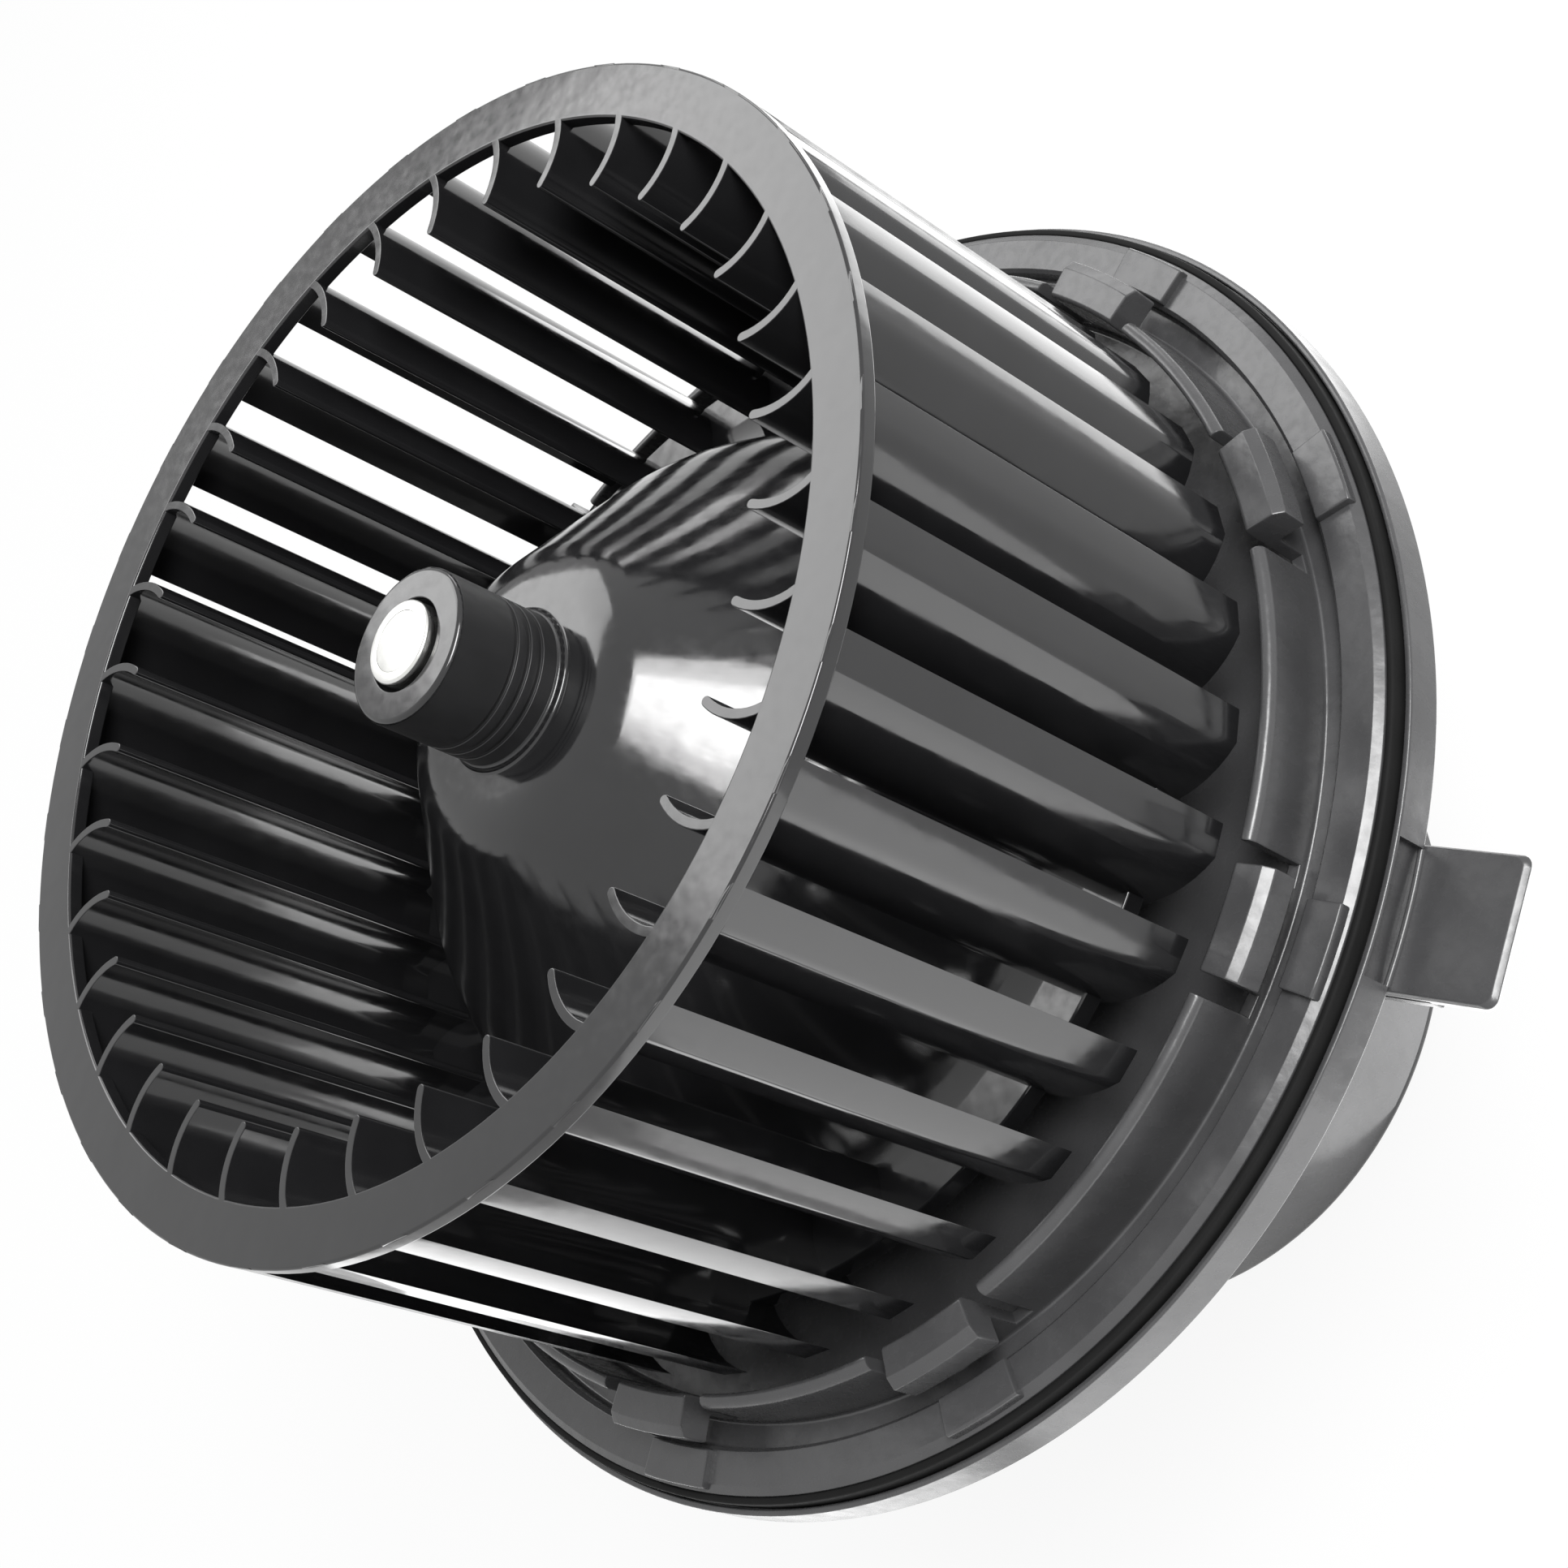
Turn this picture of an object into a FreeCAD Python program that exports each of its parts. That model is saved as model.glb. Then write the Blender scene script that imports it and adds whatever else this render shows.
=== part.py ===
import FreeCAD, Part
import math
import os

# Car air conditioner blower: a caged blower wheel on a flange-mounted motor.
# The origin lies on the shaft axis in the plane of the flange lip, +Z points to the
# open end of the wheel and +X to the side tab. All sizes are in millimetres.

Vector = FreeCAD.Vector
ORIGIN = Vector(0, 0, 0)
UP = Vector(0, 0, 1)

# Wheel moulding
rim_radius = 75.0
rim_width = 7.2
rim_thickness = 2.1
rim_edge_chamfer = 0.3
blade_count = 34
blade_phase = 6.1
blade_thickness = 1.2
knee_inset = 0.6
blade_inner_depth = 7.8
blade_bow = 0.8
blade_sweep = 6.5
blade_overshoot = 4.2
blade_foot = 1.3
base_thickness = 3.0
bell_wall = 2.0
shoulder_depth = 17.65
shoulder_radius = 14.0
shoulder_bend = 10.0
cone_heading = 46.5
cone_over_can = 0.9
bell_bend = 38.7
skirt_heading = 25.0
skirt_run = 2.64
flare_bend = 15.0
flare_heading = 85.0

# Wheel boss and sleeve
boss_radius = 10.05
boss_depth = 1.43
boss_chamfer = 0.8
boss_groove_depths = (10.0, 12.0, 13.9)
boss_groove_width = 0.6
boss_groove_cut = 0.35
collar_radius = 10.5
collar_height = 2.4
collar_chamfer = 0.3
boss_recess_gap = 0.6
boss_recess_depth = 3.0
tube_wall = 2.8
tube_reach = 7.0
sleeve_wall = 1.4
sleeve_depth = 0.3
shaft_radius = 4.0
shaft_chamfer = 0.4

# Flange, locating wall and seal
wheel_wall_gap = 2.0
wheel_lift = 0.65
wall_thickness = 1.8
wall_height = 10.85
wall_chamfer = 0.5
groove_width = 3.6
ledge_width = 5.9
ledge_height = 2.85
ledge_chamfer = 1.0
ledge_inner_chamfer = 0.5
ledge_core_width = 2.4
seal_thickness = 1.0
seal_height = 2.0
seal_gap = 0.2
seal_groove_depth = 1.2
lip_width = 0.9
plate_thickness = 2.4
skirt_depth = 5.6
skirt_wall = 2.1

# Snap lugs on the locating wall
lug_angles = (68.5, 36.4, -4.5, -50.0, -84.3, -125.7, -167.2, -208.6, -250.0)
lug_span = 9.6
lug_slot = 2.6
lug_slot_floor = 1.2
lug_reach = 3.7
lug_height = 5.0
lug_chamfer = 1.1
pad_span = 7.4
pad_width = 5.0
pad_height = 1.1
pad_inset = 0.4

# Stiffening ribs under the flange
rib_count = 12
rib_thickness = 1.6
rib_setback = 0.8
rib_phase = 15.0

# Side tab
tab_width = 17.8
tab_reach = 13.5
tab_thickness = 2.2
tab_corner = 1.4
tab_root = 6.0
tab_rib_width = 1.8
tab_rib_reach = 4.5
tab_rib_height = 2.0
tab_pocket_depth = 1.5
tab_pocket_margin = 0.7
tab_pocket_roof = 0.9

# Motor can and its fixed parts
can_radius = 38.5
can_wall = 2.0
can_length = 83.0
can_corner = 4.0
hub_motor_gap = 4.35
bearing_boss_radius = 11.0
bearing_boss_height = 8.0
bearing_boss_wall = 1.6
shaft_hole_gap = 1.5
can_vent_count = 6
can_vent_inner = 16.0
can_vent_outer = 27.0
can_vent_width = 7.0
air_gap = 0.7
magnet_thickness = 5.9
magnet_span = 130.0
magnet_length = 46.0
magnet_fit = 0.1
clip_span = 26.0
clip_angles = (90.0, 270.0)
clip_thickness = 1.2
clip_length = 40.0
bolt_radius = 1.9
bolt_head_radius = 3.6
bolt_head_height = 2.6
bolt_head_chamfer = 0.6
bolt_inset = 3.7
bolt_angles = (90.0, 270.0)
bolt_hole_gap = 0.1
bolt_relief = 0.5
end_plate_thickness = 2.0

# Rotor
core_below_can_top = 19.0
slot_count = 12
slot_radius = 4.4
slot_inset = 7.0
slot_mouth = 2.2
wire_fit = 0.3
coil_head_height = 8.6
coil_head_inset = 2.3
coil_head_chamfer = 2.5
coil_hub_radius = 12.5
commutator_radius = 11.0
commutator_wall = 4.0
commutator_length = 14.0
commutator_gap = 0.6
commutator_end_gap = 4.8
commutator_slit = 0.6
commutator_slit_depth = 1.5
washer_thickness = 0.8
washer_radius = 6.6
end_play = 0.3

# Bearings
bush_ball_radius = 8.6
bush_length = 7.8
bush_fit = 0.03
felt_thickness = 0.9
felt_fit = 0.1
retainer_thickness = 0.6
retainer_radius = 14.0
retainer_slot_count = 8
retainer_slot_width = 1.6
retainer_gap = 0.25

# Brush gear
carrier_thickness = 2.0
carrier_rim_height = 4.0
carrier_rim_wall = 1.8
carrier_fit = 0.15
carrier_hole_gap = 4.0
brush_width = 6.0
brush_height = 7.0
brush_length = 12.0
brush_clearance = 0.1
brush_fit = 0.08
brush_travel = 3.0
box_wall = 0.8
box_start_gap = 2.0
spring_turns = 4
spring_radius = 2.2
spring_wire = 0.5
spring_seat_gap = 0.05
choke_radius = 3.2
choke_core_radius = 2.0
choke_chamfer = 0.6
choke_lead = 1.5
choke_top_gap = 1.4
choke_circle = 27.0

# Motor cup, isolators and rear cover
collar_rise = 5.0
collar_wall = 2.2
front_rubber = 3.5
front_rubber_lip = 2.0
rubber_chamfer = 0.5
cup_wall = 2.1
cup_chamfer = 1.2
cup_draft = 2.5
rear_rubber = 8.9
rear_rubber_height = 6.0
rear_rubber_foot = 4.0
rear_rubber_foot_width = 5.5
motor_to_cover = 21.15
cover_thickness = 3.0
cover_fit = 0.2
cover_ring_wall = 2.0
cover_ring_inset = 2.0
post_radius = 4.6
post_inset = 4.2
post_height = 10.0
post_angles = (60.0, 180.0, 300.0)
screw_radius = 1.5
screw_head_radius = 2.9
screw_head_height = 1.6
screw_head_chamfer = 0.5
screw_length = 10.0
screw_fit = 0.1

# Cable socket in the rear cover
socket_length = 24.0
socket_width = 12.0
socket_wall = 1.6
socket_depth = 13.0
socket_gap = 2.4
terminal_width = 6.3
terminal_thickness = 0.8
terminal_spacing = 10.0
terminal_recess = 4.0
terminal_tail = 4.0

# How far a cutting block reaches past the face that it cuts
cut_margin = 1.0


# Basic shapes

def cylinder(radius, bottom, top):
    return Part.makeCylinder(radius, top - bottom, Vector(0, 0, bottom), UP)


def ring(inner, outer, bottom, top):
    return cylinder(outer, bottom, top).cut(cylinder(inner, bottom, top))


def block(x_low, x_high, y_low, y_high, z_low, z_high):
    corner = Vector(x_low, y_low, z_low)
    return Part.makeBox(x_high - x_low, y_high - y_low, z_high - z_low, corner)


def turned(shape, degrees):
    copy = shape.copy()
    copy.rotate(ORIGIN, UP, degrees)
    return copy


def repeated(shape, count, start=0.0):
    return [turned(shape, start + index * 360.0 / count) for index in range(count)]


# Points where a bevel of a given size starts and ends at the corner of an outline
def corner_cut(before, corner, after, size):
    point = Vector(corner[0], 0, corner[1])
    back = (Vector(before[0], 0, before[1]) - point).normalize()
    ahead = (Vector(after[0], 0, after[1]) - point).normalize()
    return point + back * size, point + ahead * size


# Arc that rounds the corner between those two points
def corner_arc(entry, corner, leave):
    point = Vector(corner[0], 0, corner[1])
    half = (entry - point).getAngle(leave - point) / 2
    inward = ((entry + leave) / 2 - point).normalize()
    reach = (entry - point).Length
    middle = point + inward * (reach / math.cos(half) - reach * math.tan(half))
    return Part.Arc(entry, middle, leave).toShape()


# Solid turned from an outline of (radius, height) corners, each with an optional bevel size
def lathe(corners, angle=360.0, rounded=False):
    edges = []
    pen = None
    first = None
    count = len(corners)
    for index, corner in enumerate(corners):
        size = corner[2] if len(corner) > 2 else 0.0
        entry = leave = Vector(corner[0], 0, corner[1])
        if size > 0:
            after = corners[(index + 1) % count]
            entry, leave = corner_cut(corners[index - 1], corner, after, size)
        if pen is not None:
            edges.append(Part.makeLine(pen, entry))
        if size > 0 and rounded:
            edges.append(corner_arc(entry, corner, leave))
        elif size > 0:
            edges.append(Part.makeLine(entry, leave))
        first = first or entry
        pen = leave
    edges.append(Part.makeLine(pen, first))
    face = Part.Face(Part.Wire(edges))
    return face.revolve(ORIGIN, UP, angle)


# Sector of a turned outline, centred on an angle
def sector(corners, span, centre):
    return turned(lathe(corners, span), centre - span / 2)


# Bell of the wheel hub: a line of runs and bends, measured down from the rim face

def heading_normal(heading):
    angle = math.radians(heading)
    return Vector(-math.cos(angle), 0, -math.sin(angle))


def heading_along(heading):
    angle = math.radians(heading)
    return Vector(math.sin(angle), 0, -math.cos(angle))


def bend(start, heading, new_heading, radius):
    side = 1 if new_heading < heading else -1
    centre = start + heading_normal(heading) * (side * radius)
    middle_heading = (heading + new_heading) / 2
    middle = centre - heading_normal(middle_heading) * (side * radius)
    end = centre - heading_normal(new_heading) * (side * radius)
    return [(middle, middle_heading), (end, new_heading)]


def bell_line():
    flat = 90.0
    start = Vector(boss_radius - boss_chamfer, 0, -shoulder_depth)
    shoulder = Vector(shoulder_radius, 0, -shoulder_depth)
    stations = [(start, flat), (shoulder, flat)]
    stations += bend(shoulder, flat, cone_heading, shoulder_bend)
    top = stations[-1][0]
    cone = (can_radius + cone_over_can - top.x) / math.sin(math.radians(cone_heading))
    stations.append((top + heading_along(cone_heading) * cone, cone_heading))
    stations += bend(stations[-1][0], cone_heading, skirt_heading, bell_bend)
    skirt = stations[-1][0] + heading_along(skirt_heading) * skirt_run
    stations.append((skirt, skirt_heading))
    stations += bend(skirt, skirt_heading, flare_heading, flare_bend)
    return stations


bell_stations = bell_line()
cone_end = bell_stations[4][0]
flare_end = bell_stations[-1][0]

# Heights and radii worked out from the sizes above
wheel_length = -flare_end.z + base_thickness + blade_foot
wheel_bottom = wall_height + wheel_lift
wheel_top = wheel_bottom + wheel_length
base_top = wheel_top + flare_end.z
base_bottom = base_top - base_thickness
rim_inner = rim_radius - rim_width
sleeve_radius = shaft_radius + sleeve_wall
boss_top = wheel_top - boss_depth
shoulder_top = wheel_top - shoulder_depth
tube_bottom = shoulder_top - bell_wall - tube_reach
sleeve_top = wheel_top - sleeve_depth

wall_inner = rim_radius + wheel_wall_gap
wall_outer = wall_inner + wall_thickness
ledge_inner = wall_outer + groove_width
ledge_outer = ledge_inner + ledge_width
seal_outer = ledge_outer + seal_thickness
lip_inner = seal_outer + seal_gap
flange_radius = lip_inner + lip_width

cone_inner_height = wheel_top + cone_end.z + bell_wall * heading_normal(cone_heading).z
can_top = cone_inner_height - hub_motor_gap
can_bottom = can_top - can_length
can_inner = can_radius - can_wall
can_roof = can_top - can_wall
end_plate_bottom = can_bottom - end_plate_thickness
magnet_outer = can_inner - magnet_fit
magnet_inner = magnet_outer - magnet_thickness
core_radius = magnet_inner - air_gap
commutator_bottom = can_bottom + commutator_end_gap
commutator_top = commutator_bottom + commutator_length
core_top = can_top - core_below_can_top
core_bottom = commutator_top + commutator_gap + coil_head_height
slot_circle = core_radius - slot_inset
coil_head_radius = core_radius - coil_head_inset
commutator_inner = commutator_radius - commutator_wall
bolt_circle = can_inner - bolt_inset

pocket_radius = bearing_boss_radius - bearing_boss_wall
front_pocket_end = can_top + bearing_boss_height - bearing_boss_wall
rear_pocket_end = end_plate_bottom - bearing_boss_height + bearing_boss_wall
front_bush_top = front_pocket_end - felt_thickness
front_bush_bottom = front_bush_top - bush_length
rear_bush_bottom = rear_pocket_end + felt_thickness
rear_bush_top = rear_bush_bottom + bush_length
shaft_bottom = rear_bush_bottom - shaft_chamfer

carrier_top = can_bottom + carrier_rim_height + carrier_thickness
carrier_radius = can_inner - carrier_fit
box_inner_start = commutator_radius + box_start_gap
brush_start = commutator_radius + brush_clearance
brush_end = brush_start + brush_length
spring_solid = (spring_turns + 1) * spring_wire + 2 * spring_seat_gap
box_back = brush_end + brush_travel + spring_solid
brush_floor = carrier_top + box_wall + brush_fit

cup_rear = end_plate_bottom - motor_to_cover
cup_inner_rear = can_radius + rear_rubber
cup_outer_rear = cup_inner_rear + cup_wall
cup_outer_front = cup_outer_rear + cup_draft
front_collar_inner = can_radius + front_rubber
cover_top = cup_rear + cover_thickness
post_circle = cup_inner_rear - post_inset
rear_rubber_bottom = end_plate_bottom - rear_rubber_foot
socket_place = -(bearing_boss_radius + socket_gap + socket_wall + socket_width / 2)


# Blower wheel

def blade_line():
    knee = Vector(rim_inner - knee_inset, 0, 0)
    tip = Vector(knee.x - blade_inner_depth, 0, 0)
    half_chord = blade_inner_depth / 2
    inner_bend = (half_chord ** 2 + blade_bow ** 2) / (2 * blade_bow)
    inner_centre = Vector(knee.x - half_chord, inner_bend - blade_bow, 0)
    sweep = math.radians(blade_sweep)
    crossing = Vector(rim_radius * math.cos(sweep), rim_radius * math.sin(sweep), 0)
    towards = (inner_centre - knee).normalize()
    reach = crossing - knee
    outer_bend = reach.dot(reach) / (2 * reach.dot(towards))
    outer_centre = knee + towards * outer_bend
    leaving = UP.cross(crossing - outer_centre).normalize()
    end = crossing + leaving * blade_overshoot
    end = outer_centre + (end - outer_centre).normalize() * outer_bend
    return tip, knee, end, inner_centre, outer_centre


def side_arc(centre, start, end, offset):
    begin = (start - centre).normalize()
    finish = (end - centre).normalize()
    middle = (begin + finish).normalize()
    radius = (start - centre).Length + offset
    return [centre + direction * radius for direction in (begin, middle, finish)]


# Strip bent to a C, cut off outside by the rim's own round outline
def blade():
    tip, knee, end, inner_centre, outer_centre = blade_line()
    half = blade_thickness / 2
    nose = tip + (tip - inner_centre).cross(UP).normalize() * half
    back_inner = side_arc(inner_centre, tip, knee, half)
    back_outer = side_arc(outer_centre, knee, end, half)
    face_inner = side_arc(inner_centre, tip, knee, -half)
    face_outer = side_arc(outer_centre, knee, end, -half)
    edges = [
        Part.Arc(*back_inner).toShape(),
        Part.Arc(*back_outer).toShape(),
        Part.makeLine(back_outer[-1], face_outer[-1]),
        Part.Arc(*reversed(face_outer)).toShape(),
        Part.Arc(*reversed(face_inner)).toShape(),
        Part.Arc(face_inner[0], nose, back_inner[0]).toShape(),
    ]
    face = Part.Face(Part.Wire(edges))
    face.translate(Vector(0, 0, wheel_bottom))
    return face.extrude(Vector(0, 0, wheel_length))


def blades():
    room = lathe([
        (0, wheel_bottom),
        (rim_radius, wheel_bottom),
        (rim_radius, wheel_top, rim_edge_chamfer),
        (0, wheel_top),
    ])
    return repeated(blade().common(room), blade_count, blade_phase)


def bell_side(points):
    flat_start, flat_end, shoulder, cone_start, cone_end, bend, skirt_start, skirt_end, flare, last = points
    return [
        Part.makeLine(flat_start, flat_end),
        Part.Arc(flat_end, shoulder, cone_start).toShape(),
        Part.makeLine(cone_start, cone_end),
        Part.Arc(cone_end, bend, skirt_start).toShape(),
        Part.makeLine(skirt_start, skirt_end),
        Part.Arc(skirt_end, flare, last).toShape(),
    ]


def bell():
    outer = [place + UP * wheel_top for place, heading in bell_stations]
    inner = [place + UP * wheel_top + heading_normal(heading) * bell_wall
             for place, heading in bell_stations]
    edges = bell_side(outer) + bell_side(inner)
    edges.append(Part.makeLine(outer[0], inner[0]))
    edges.append(Part.makeLine(outer[-1], inner[-1]))
    wire = Part.Wire(Part.__sortEdges__(edges))
    return Part.Face(wire).revolve(ORIGIN, UP, 360)


def wheel_boss():
    tube_radius = sleeve_radius + tube_wall
    collar_top = shoulder_top + collar_height
    solid = lathe([
        (sleeve_radius + boss_recess_gap, boss_top),
        (boss_radius - boss_chamfer, boss_top),
        (boss_radius, boss_top - boss_chamfer),
        (boss_radius, collar_top),
        (collar_radius, collar_top - collar_chamfer),
        (collar_radius, shoulder_top - bell_wall / 2),
        (tube_radius, shoulder_top - bell_wall),
        (tube_radius, tube_bottom),
        (sleeve_radius, tube_bottom),
        (sleeve_radius, boss_top - boss_recess_depth),
        (sleeve_radius + boss_recess_gap, boss_top - boss_recess_depth),
    ])
    grooves = [
        ring(boss_radius - boss_groove_cut, collar_radius,
             wheel_top - depth - boss_groove_width, wheel_top - depth)
        for depth in boss_groove_depths
    ]
    return solid.cut(grooves)


def blower_wheel():
    rim = lathe([
        (rim_inner, wheel_top, rim_edge_chamfer),
        (rim_radius, wheel_top, rim_edge_chamfer),
        (rim_radius, wheel_top - rim_thickness),
        (rim_inner, wheel_top - rim_thickness),
    ])
    base = ring(flare_end.x - bell_wall, rim_inner, base_bottom, base_top)
    wheel = rim.fuse(blades() + [base, bell(), wheel_boss()])
    return wheel.removeSplitter()


def hub_sleeve():
    return lathe([
        (shaft_radius, tube_bottom),
        (sleeve_radius, tube_bottom),
        (sleeve_radius, sleeve_top - shaft_chamfer),
        (sleeve_radius - shaft_chamfer, sleeve_top),
        (shaft_radius, sleeve_top),
    ])


# Rotor inside the motor

def motor_shaft():
    return lathe([
        (0, shaft_bottom),
        (shaft_radius - shaft_chamfer, shaft_bottom),
        (shaft_radius, shaft_bottom + shaft_chamfer),
        (shaft_radius, sleeve_top - shaft_chamfer / 2),
        (shaft_radius - shaft_chamfer / 2, sleeve_top),
        (0, sleeve_top),
    ])


def slot_tool(radius, bottom, top):
    pocket = cylinder(radius, bottom, top)
    pocket.translate(Vector(slot_circle, 0, 0))
    return pocket


def armature_core():
    core = ring(shaft_radius, core_radius, core_bottom, core_top)
    pocket = slot_tool(slot_radius, core_bottom, core_top)
    mouth = block(slot_circle, core_radius + cut_margin, -slot_mouth / 2, slot_mouth / 2, core_bottom, core_top)
    return core.cut(repeated(pocket.fuse(mouth), slot_count))


def coil_head(bottom, top):
    return lathe([
        (coil_hub_radius, bottom, coil_head_chamfer),
        (coil_head_radius, bottom, coil_head_chamfer),
        (coil_head_radius, top, coil_head_chamfer),
        (coil_hub_radius, top, coil_head_chamfer),
    ])


def armature_windings():
    upper = coil_head(core_top, core_top + coil_head_height)
    lower = coil_head(core_bottom - coil_head_height, core_bottom)
    side_bottom = core_bottom - coil_head_height / 2
    side_top = core_top + coil_head_height / 2
    wires = repeated(slot_tool(slot_radius - wire_fit, side_bottom, side_top), slot_count)
    return upper.fuse([lower] + wires).removeSplitter()


def commutator():
    bars = ring(commutator_inner, commutator_radius, commutator_bottom, commutator_top)
    slit = block(commutator_radius - commutator_slit_depth, commutator_radius + cut_margin,
                 -commutator_slit / 2, commutator_slit / 2, commutator_bottom, commutator_top)
    return bars.cut(repeated(slit, slot_count, 180.0 / slot_count))


def commutator_hub():
    return ring(shaft_radius, commutator_inner, commutator_bottom, commutator_top)


def front_thrust_washer():
    top = front_bush_bottom - end_play
    return ring(shaft_radius, washer_radius, top - washer_thickness, top)


def rear_thrust_washer():
    bottom = rear_bush_top + end_play
    return ring(shaft_radius, washer_radius, bottom, bottom + washer_thickness)


# Mounting housing

def housing_section():
    core_inner = (ledge_inner + ledge_outer - ledge_core_width) / 2
    core_outer = core_inner + ledge_core_width
    core_roof = ledge_height - plate_thickness
    skirt_inner = flange_radius - skirt_wall
    slope = cup_draft / (-plate_thickness - cup_rear)
    cup_inner_front = cup_inner_rear + slope * (-plate_thickness - cup_rear)
    return lathe([
        (front_collar_inner, collar_rise),
        (front_collar_inner + collar_wall, collar_rise),
        (front_collar_inner + collar_wall, 0),
        (wall_inner, 0),
        (wall_inner, wall_height, wall_chamfer),
        (wall_outer, wall_height, wall_chamfer),
        (wall_outer, 0),
        (ledge_inner, 0),
        (ledge_inner, ledge_height, ledge_inner_chamfer),
        (ledge_outer, ledge_height, ledge_chamfer),
        (ledge_outer, -seal_groove_depth),
        (lip_inner, -seal_groove_depth),
        (lip_inner, 0),
        (flange_radius, 0),
        (flange_radius, -skirt_depth),
        (skirt_inner, -skirt_depth),
        (skirt_inner, -plate_thickness),
        (core_outer, -plate_thickness),
        (core_outer, core_roof),
        (core_inner, core_roof),
        (core_inner, -plate_thickness),
        (cup_outer_front, -plate_thickness, cup_chamfer),
        (cup_outer_rear, cup_rear, cup_chamfer),
        (cup_inner_rear, cup_rear),
        (cup_inner_front, -plate_thickness),
        (front_collar_inner, -plate_thickness),
    ])


def lug(centre):
    top = wall_height
    tip = wall_outer + lug_reach
    root = wall_inner + wall_thickness / 3
    return sector([
        (root, top - lug_height),
        (tip, top - lug_height),
        (tip, top - lug_chamfer),
        (tip - lug_chamfer, top),
        (root, top - wall_chamfer),
    ], lug_span, centre)


def lug_slots(centre):
    offset = lug_span / 2 + math.degrees(lug_slot / 2 / wall_inner)
    slot = block(wall_inner - wall_thickness, wall_outer + wall_thickness, -lug_slot / 2, lug_slot / 2,
                 lug_slot_floor, wall_height + cut_margin)
    return [turned(slot, centre - offset), turned(slot, centre + offset)]


def pad(centre):
    outer = ledge_outer - pad_inset
    inner = max(outer - pad_width, ledge_inner + ledge_inner_chamfer)
    root = ledge_height - ledge_chamfer
    return sector([
        (inner, root),
        (outer, root),
        (outer, ledge_height + pad_height, pad_height / 4),
        (inner, ledge_height + pad_height, pad_height / 4),
    ], pad_span, centre)


def underside_rib():
    half = rib_thickness / 2
    cup_middle = cup_outer_front - cup_wall / 2
    return block(cup_middle, flange_radius - skirt_wall / 2, -half, half,
                 -skirt_depth + rib_setback, -plate_thickness / 2)


def tab():
    root = flange_radius - tab_root
    tip = flange_radius + tab_reach
    half = tab_width / 2
    low = -skirt_depth - tab_thickness
    plate = block(root, tip, -half, half, low, -skirt_depth)
    corners = [edge for edge in plate.Edges
               if abs(edge.CenterOfMass.x - tip) < tab_corner / 10
               and abs(edge.tangentAt(edge.FirstParameter).z) > 0.5]
    plate = plate.makeFillet(tab_corner, corners)
    wall_middle = flange_radius - (skirt_wall + tab_pocket_depth) / 2
    foot = block(root, wall_middle, -half, half, low, -plate_thickness / 2)
    pieces = [foot]
    for y_low in (-half, half - tab_rib_width):
        pieces.append(block(root, flange_radius + tab_rib_reach, y_low, y_low + tab_rib_width,
                            low - tab_rib_height, low + tab_thickness / 2))
    return plate.fuse(pieces)


def tab_pocket():
    half = tab_width / 2 - tab_pocket_margin
    return block(flange_radius - tab_pocket_depth, flange_radius + cut_margin, -half, half,
                 -skirt_depth, -tab_pocket_roof)


def cover_posts():
    posts = []
    for angle in post_angles:
        post = cylinder(post_radius, cover_top, cover_top + post_height)
        post.translate(Vector(post_circle, 0, 0))
        posts.append(turned(post, angle))
    return posts


def screw_holes(radius, bottom, top):
    holes = []
    for angle in post_angles:
        hole = cylinder(radius, bottom, top)
        hole.translate(Vector(post_circle, 0, 0))
        holes.append(turned(hole, angle))
    return holes


def mounting_housing():
    body = housing_section()
    slots = []
    added = []
    for centre in lug_angles:
        slots += lug_slots(centre)
        added += [lug(centre), pad(centre)]
    body = body.cut(slots + [tab_pocket()])
    ribs = repeated(underside_rib(), rib_count, rib_phase)
    body = body.fuse(added + ribs + [tab()] + cover_posts())
    body = body.cut(screw_holes(screw_radius, cover_top, cover_top + post_height))
    return body.removeSplitter()


def flange_seal():
    return lathe([
        (ledge_outer, -seal_groove_depth),
        (seal_outer, -seal_groove_depth),
        (seal_outer, seal_height, seal_thickness / 3),
        (ledge_outer, seal_height),
    ])


# Rear cover with the cable socket

def socket_block(length, width, bottom, top):
    return block(-length / 2, length / 2, socket_place - width / 2, socket_place + width / 2,
                 bottom, top)


def rear_cover():
    radius = cup_inner_rear - cover_fit
    disc = cylinder(radius, cup_rear, cover_top)
    ring_outer = can_radius - cover_ring_inset
    wall = ring(ring_outer - cover_ring_wall, ring_outer, cover_top, rear_rubber_bottom)
    shell = socket_block(socket_length + 2 * socket_wall, socket_width + 2 * socket_wall,
                         cup_rear, cup_rear + socket_depth)
    cavity = socket_block(socket_length, socket_width, cup_rear, cup_rear + socket_depth - socket_wall)
    body = disc.fuse([wall, shell])
    sinks = screw_holes(screw_head_radius + screw_fit, cup_rear, cup_rear + screw_head_height)
    bores = screw_holes(screw_radius + screw_fit, cup_rear, cover_top)
    openings = [cavity] + terminal_blanks() + sinks + bores
    return body.cut(openings).removeSplitter()


def terminal_blanks():
    bottom = cup_rear + terminal_recess
    top = cup_rear + socket_depth + terminal_tail
    half = terminal_thickness / 2
    y_low = socket_place - terminal_width / 2
    y_high = socket_place + terminal_width / 2
    return [
        block(x - half, x + half, y_low, y_high, bottom, top)
        for x in (-terminal_spacing / 2, terminal_spacing / 2)
    ]


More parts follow.
